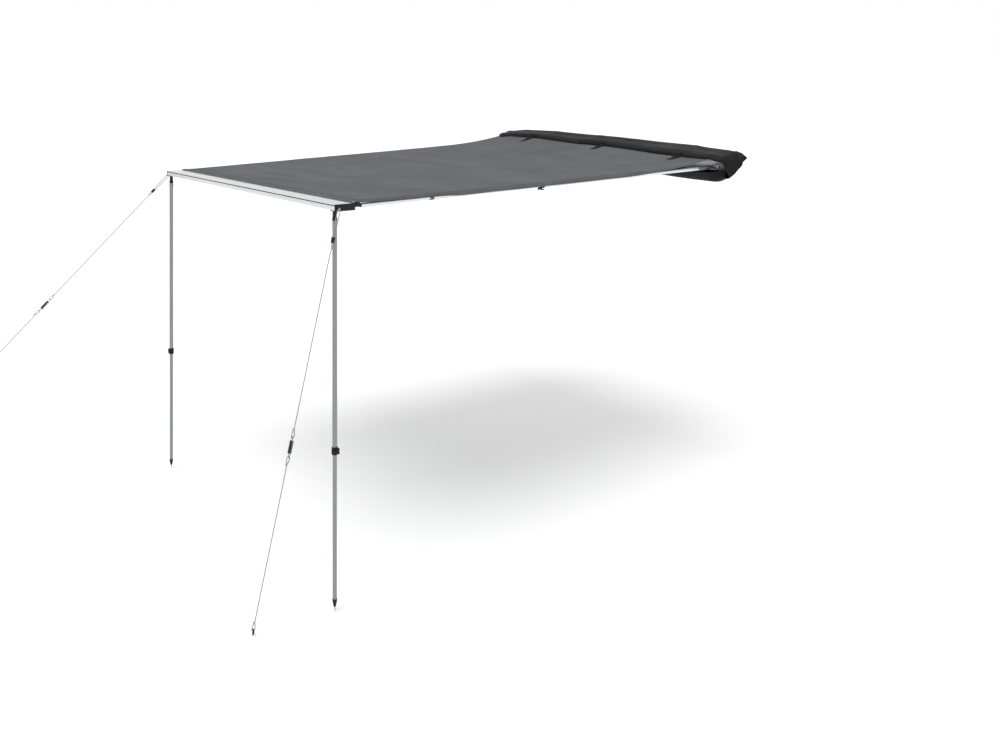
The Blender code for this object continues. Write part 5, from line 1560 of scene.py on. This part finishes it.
@dataclass
class Leg:
    """A telescopic leg from its knuckle down to its spike, standing on the ground."""

    side: Side
    tube_top: float = -0.1503
    clamp_z: float = -1.335
    lower_top: float = -1.0167
    lower_end: float = -2.1167
    cap_top: float = -2.097
    cap_end: float = -2.137
    cap_tip: float = 0.0062
    cap_flare: float = 0.0068
    cap_rings: int = 5
    rivet_inset: float = 0.010
    rivet_pitch: float = 0.013

    def build(self) -> None:
        """Builds the knuckle, both tubes, the clamp and the foot."""
        label = self.side.label
        upper, lower = f"leg_upper_{label}", f"leg_lower_{label}"
        place = Matrix.Translation((self.side.sign * LEG_X, LEG_Y, 0.0))
        softened(f"leg_knuckle_{label}", BLACK_PLASTIC, upper, 0.0007)
        self.rivets(upper, place)
        for name, node, ends, radius, body in (
            ("outer", "upper", (self.clamp_z, self.tube_top), TUBE_OUTER, upper),
            ("inner", "lower", (self.lower_end, self.lower_top), TUBE_INNER, lower),
        ):
            tube, node = f"leg_{name}_tube_{label}", f"leg_{node}_tube_{label}"
            drawn_tube(tube, node, ends, radius, place, LEG_ALUMINIUM, body)
        turn = Matrix.Rotation(math.pi if self.side is Side.LEFT else 0.0, 4, "Z")
        at_clamp = place @ Matrix.Translation((0.0, 0.0, self.clamp_z)) @ turn
        Clamp(f"leg_{label}", at_clamp, upper, f"leg_lock_lever_{label}", 2).build()
        self.foot(lower, place)

    def rivets(self, body: str, place: Matrix) -> None:
        """Domed rivet heads on both faces of the tube, over the knuckle's plug."""
        spots = []
        for i in range(2):
            z = self.tube_top - self.rivet_inset - self.rivet_pitch * i
            for face in (-1, 1):
                aim = Vector((0.0, face, 0.0))
                spots.append((place @ Vector((0.0, face * (TUBE_OUTER - 0.0004), z)), aim))
        dome = [(0, 0), (0.0040, 0), (0.0040, 0.0010), (0.0034, 0.0018), (0.0020, 0.0024), (0, 0.0026)]
        Heads("rivet_heads", ZINC_STEEL, dome).at(f"leg_rivets_{self.side.label}", spots, body)

    def foot(self, body: str, place: Matrix) -> None:
        """The ringed foot cap and the spike in it."""
        label = self.side.label
        top, end = self.cap_top, self.cap_end
        step = (top - end) / self.cap_rings
        outside = []
        for i in range(self.cap_rings):
            share = i / self.cap_rings
            z = end + (top - end) * share
            low = self.cap_tip + self.cap_flare * share
            high = self.cap_tip + self.cap_flare * (share + 0.7 / self.cap_rings)
            outside += [(low, z), (high, z + step * 0.70), (high, z + step * 0.82)]
            outside += [(high - 0.0007, z + step * 0.90)]
        cap = turned(f"foot_cap_{label}_moulding", [
            (0, end + 0.0105), (0.0043, end + 0.0105), (0.0043, end), *outside,
            (0.0130, top - 0.0006), (0.0125, top), (0.0117, top), (0.0113, top - 0.0004),
            (0.0113, top - 0.0195), (0, top - 0.0195),
        ], place, BLACK_PLASTIC)
        dress(cap, body, [f"foot_cap_{label}"])
        spike = turned(f"ground_spike_{label}_turned", [
            (0, GROUND_Z), (0.0010, GROUND_Z + 0.0008), (0.0040, GROUND_Z + 0.0120), (0.0040, end + 0.0096),
            (0.0036, end + 0.0100), (0, end + 0.0100),
        ], place, ZINC_STEEL, 32)
        dress(spike, body, [f"ground_spike_{label}"])


@dataclass
class Rafter:
    """A telescopic rafter from its fork on the rail to its hook in the end block."""

    side: Side
    outer_ends: Pair = (-0.1303, -1.6200)
    inner_ends: Pair = (-1.3200, -2.8477)
    tie_y: float = -2.405
    tie_half: float = 0.013

    def build(self) -> None:
        """Builds the fork, its pin, the sleeve, both tubes, the clamp and the hook."""
        label = self.side.label
        pivot = Vector((self.side.sign * LEG_X, RAFTER_PIVOT_Y, RAFTER_PIVOT_Z[self.side]))
        along = Vector((pivot.x, HOOK_Y, HOOK_Z)) - pivot
        cosine = (RAFTER_PIVOT_Y - HOOK_Y) / along.length
        place = Matrix.Translation(pivot) @ frame_along(along)
        outer, inner = f"rafter_outer_{label}", f"rafter_inner_{label}"
        softened(f"rafter_fork_{label}", RAIL_ALUMINIUM, "vehicle_rail", 0.0008)
        softened(f"rafter_pin_{label}", ZINC_STEEL, "vehicle_rail", 0.0004)
        softened(f"rafter_sleeve_{label}", GREY_PLASTIC, outer, 0.0008)
        for name, node, reach, radius, body in (
            ("wide", "outer", self.outer_ends, TUBE_OUTER, outer),
            ("thin", "inner", self.inner_ends, TUBE_INNER, inner),
        ):
            ends = tuple((RAFTER_PIVOT_Y - y) / cosine for y in reach)
            tube, node = f"rafter_{name}_tube_{label}", f"rafter_{node}_tube_{label}"
            drawn_tube(tube, node, ends, radius, place, RAFTER_ALUMINIUM, body)
        softened(f"rafter_hook_{label}", BLACK_STEEL, inner, 0.0007)
        self.tie(inner, place, (RAFTER_PIVOT_Y - self.tie_y) / cosine)
        turn = Matrix(((0, -1, 0), (-1, 0, 0), (0, 0, -1))).to_4x4()
        clamp_at = (RAFTER_PIVOT_Y - self.outer_ends[1]) / cosine
        at_clamp = place @ Matrix.Translation((0.0, 0.0, clamp_at)) @ turn
        Clamp(f"rafter_{label}", at_clamp, outer, f"rafter_lock_lever_{label}", 1).build()

    def tie(self, body: str, place: Matrix, at: float) -> None:
        """The ring round the thin tube, at a distance along it, that ties the canvas to it."""
        edge = ((0.0002, self.tie_half), (0.0019, self.tie_half), (0.0024, self.tie_half - 0.001))
        profile = [(TUBE_INNER + out, at - z) for out, z in edge]
        profile += [(TUBE_INNER + out, at + z) for out, z in reversed(edge)]
        tie = turned(f"canopy_tie_{self.side.label}", profile, place, GREY_PLASTIC, 40)
        dress(tie, body)


@dataclass
class LeadBar:
    """The front extrusion, the black strip of painted shade in its front groove, and its end blocks."""

    half: float = 1.243
    front_y: float = -3.018
    top_z: float = -0.064
    groove_drop: float = 0.004
    groove_height: float = 0.005
    ribs: int = 3
    pin_z: float = -0.083
    plate: float = 0.0028

    def build(self) -> None:
        """Builds the bar, its painted shade strip, and what each end carries."""
        softened("lead_bar", BAR_ALUMINIUM, "front_bar", 0.0007)
        self.strip()
        for side in Side:
            self.end(side)

    def strip(self) -> None:
        """A ribbed black strip of painted shade, a little inside the groove's mouth, that darkens the groove
        line.
        """
        high = self.top_z - self.groove_drop - 0.0003
        low = high - self.groove_height + 0.0006
        back, face = self.front_y + 0.0014, self.front_y + 0.0005
        step = (high - low) / (2 * self.ribs)
        outline = [(back, low), (face, low)]
        for i in range(self.ribs):
            outline += [(face - 0.0003, low + step * (2 * i + 0.5)), (face, low + step * (2 * i + 1.6))]
        outline += [(face, high), (back, high)]
        bm = bmesh.new()
        along = Matrix(((0, 0, 1, 0), (1, 0, 0, 0), (0, 1, 0, 0), (0, 0, 0, 1)))
        extruded(bm, outline, (-self.half + 0.001, self.half - 0.001), along)
        # Painted shade: a black plastic piece put where the groove has only shade.
        dress(mesh_object("lead_bar_rubber_strip", bm, BLACK_PLASTIC), "front_bar")

    def end(self, side: Side) -> None:
        """One end block with its screws, the leg's pin and the rafter's pin."""
        label = side.label
        softened(f"end_block_{label}", BLACK_PLASTIC, "front_bar", 0.0009)
        head = [
            (0, 0), (0.0034, 0), (0.0034, 0.0006), (0.0028, 0.0013), (0.0017, 0.0016), (0.0015, 0.0004),
            (0, 0.0004),
        ]
        spots = [
            (Vector((side.sign * (self.half + self.plate), y, z)), Vector((side.sign, 0.0, 0.0)))
            for y, z in ((-3.0115, -0.0720), (-2.9130, -0.0720), (-2.9130, -0.0920))
        ]
        Heads("plate_screws", BLACK_STEEL, head).at(f"end_block_screws_{label}", spots, "front_bar")
        softened(f"hook_pin_{label}", ZINC_STEEL, "front_bar", 0.0004)
        axis = Matrix.Rotation(math.pi / 2, 4, "X")
        place = Matrix.Translation((side.sign * LEG_X, LEG_Y, self.pin_z)) @ axis
        pin = turned(f"leg_pin_{label}_turned", [
            (0, -0.0149), (0.0035, -0.0149), (0.0040, -0.0144), (0.0040, 0.0144), (0.0035, 0.0149),
            (0, 0.0149),
        ], place, ZINC_STEEL)
        dress(pin, "front_bar", [f"leg_pin_{label}"])


@dataclass
class BaseRail:
    """The rail beside the roof, and the two brackets that carry it with their T-slot bolts."""

    bracket_x: float = 0.5
    washer_y: float = 0.0044
    bolt_z: float = -0.025

    def build(self) -> None:
        """Builds the rail, its brackets, its bolts and their washers."""
        softened("base_rail", RAIL_ALUMINIUM, "vehicle_rail", 0.0005)
        for side in Side:
            label = side.label
            softened(f"mounting_bracket_{label}", BLACK_STEEL, "vehicle_rail", 0.0012)
            softened(f"bracket_bolt_{label}", ZINC_STEEL, "vehicle_rail", 0.0004)
            at = Vector((side.sign * self.bracket_x, self.washer_y, self.bolt_z))
            bm = bmesh.new()
            lathe(bm, [
                (0.0042, 0.0), (0.0080, 0.0), (0.0084, 0.0004), (0.0084, 0.0012), (0.0080, 0.0016),
                (0.0042, 0.0016),
            ], Matrix.Translation(at) @ Matrix.Rotation(-math.pi / 2, 4, "X"), 40)
            washer = mesh_object(f"bracket_washer_{label}", bm, ZINC_STEEL, SHARP_PRESSED)
            dress(washer, "vehicle_rail")


def main() -> None:
    """Builds every piece of the awning, in order, and the studio."""
    Studio().build()
    GuyRope(Side.LEFT, (-1.970, -4.745)).build()
    GuyRope(Side.RIGHT, (1.173, -3.428)).build()
    canopy = Canopy()
    canopy.build()
    StorageBag(canopy).build()
    BaseRail().build()
    LeadBar().build()
    for side in Side:
        Leg(side).build()
        Rafter(side).build()


if __name__ == "__main__":
    logging.basicConfig(level=logging.INFO, format="%(name)s: %(message)s")
    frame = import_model()
    main()
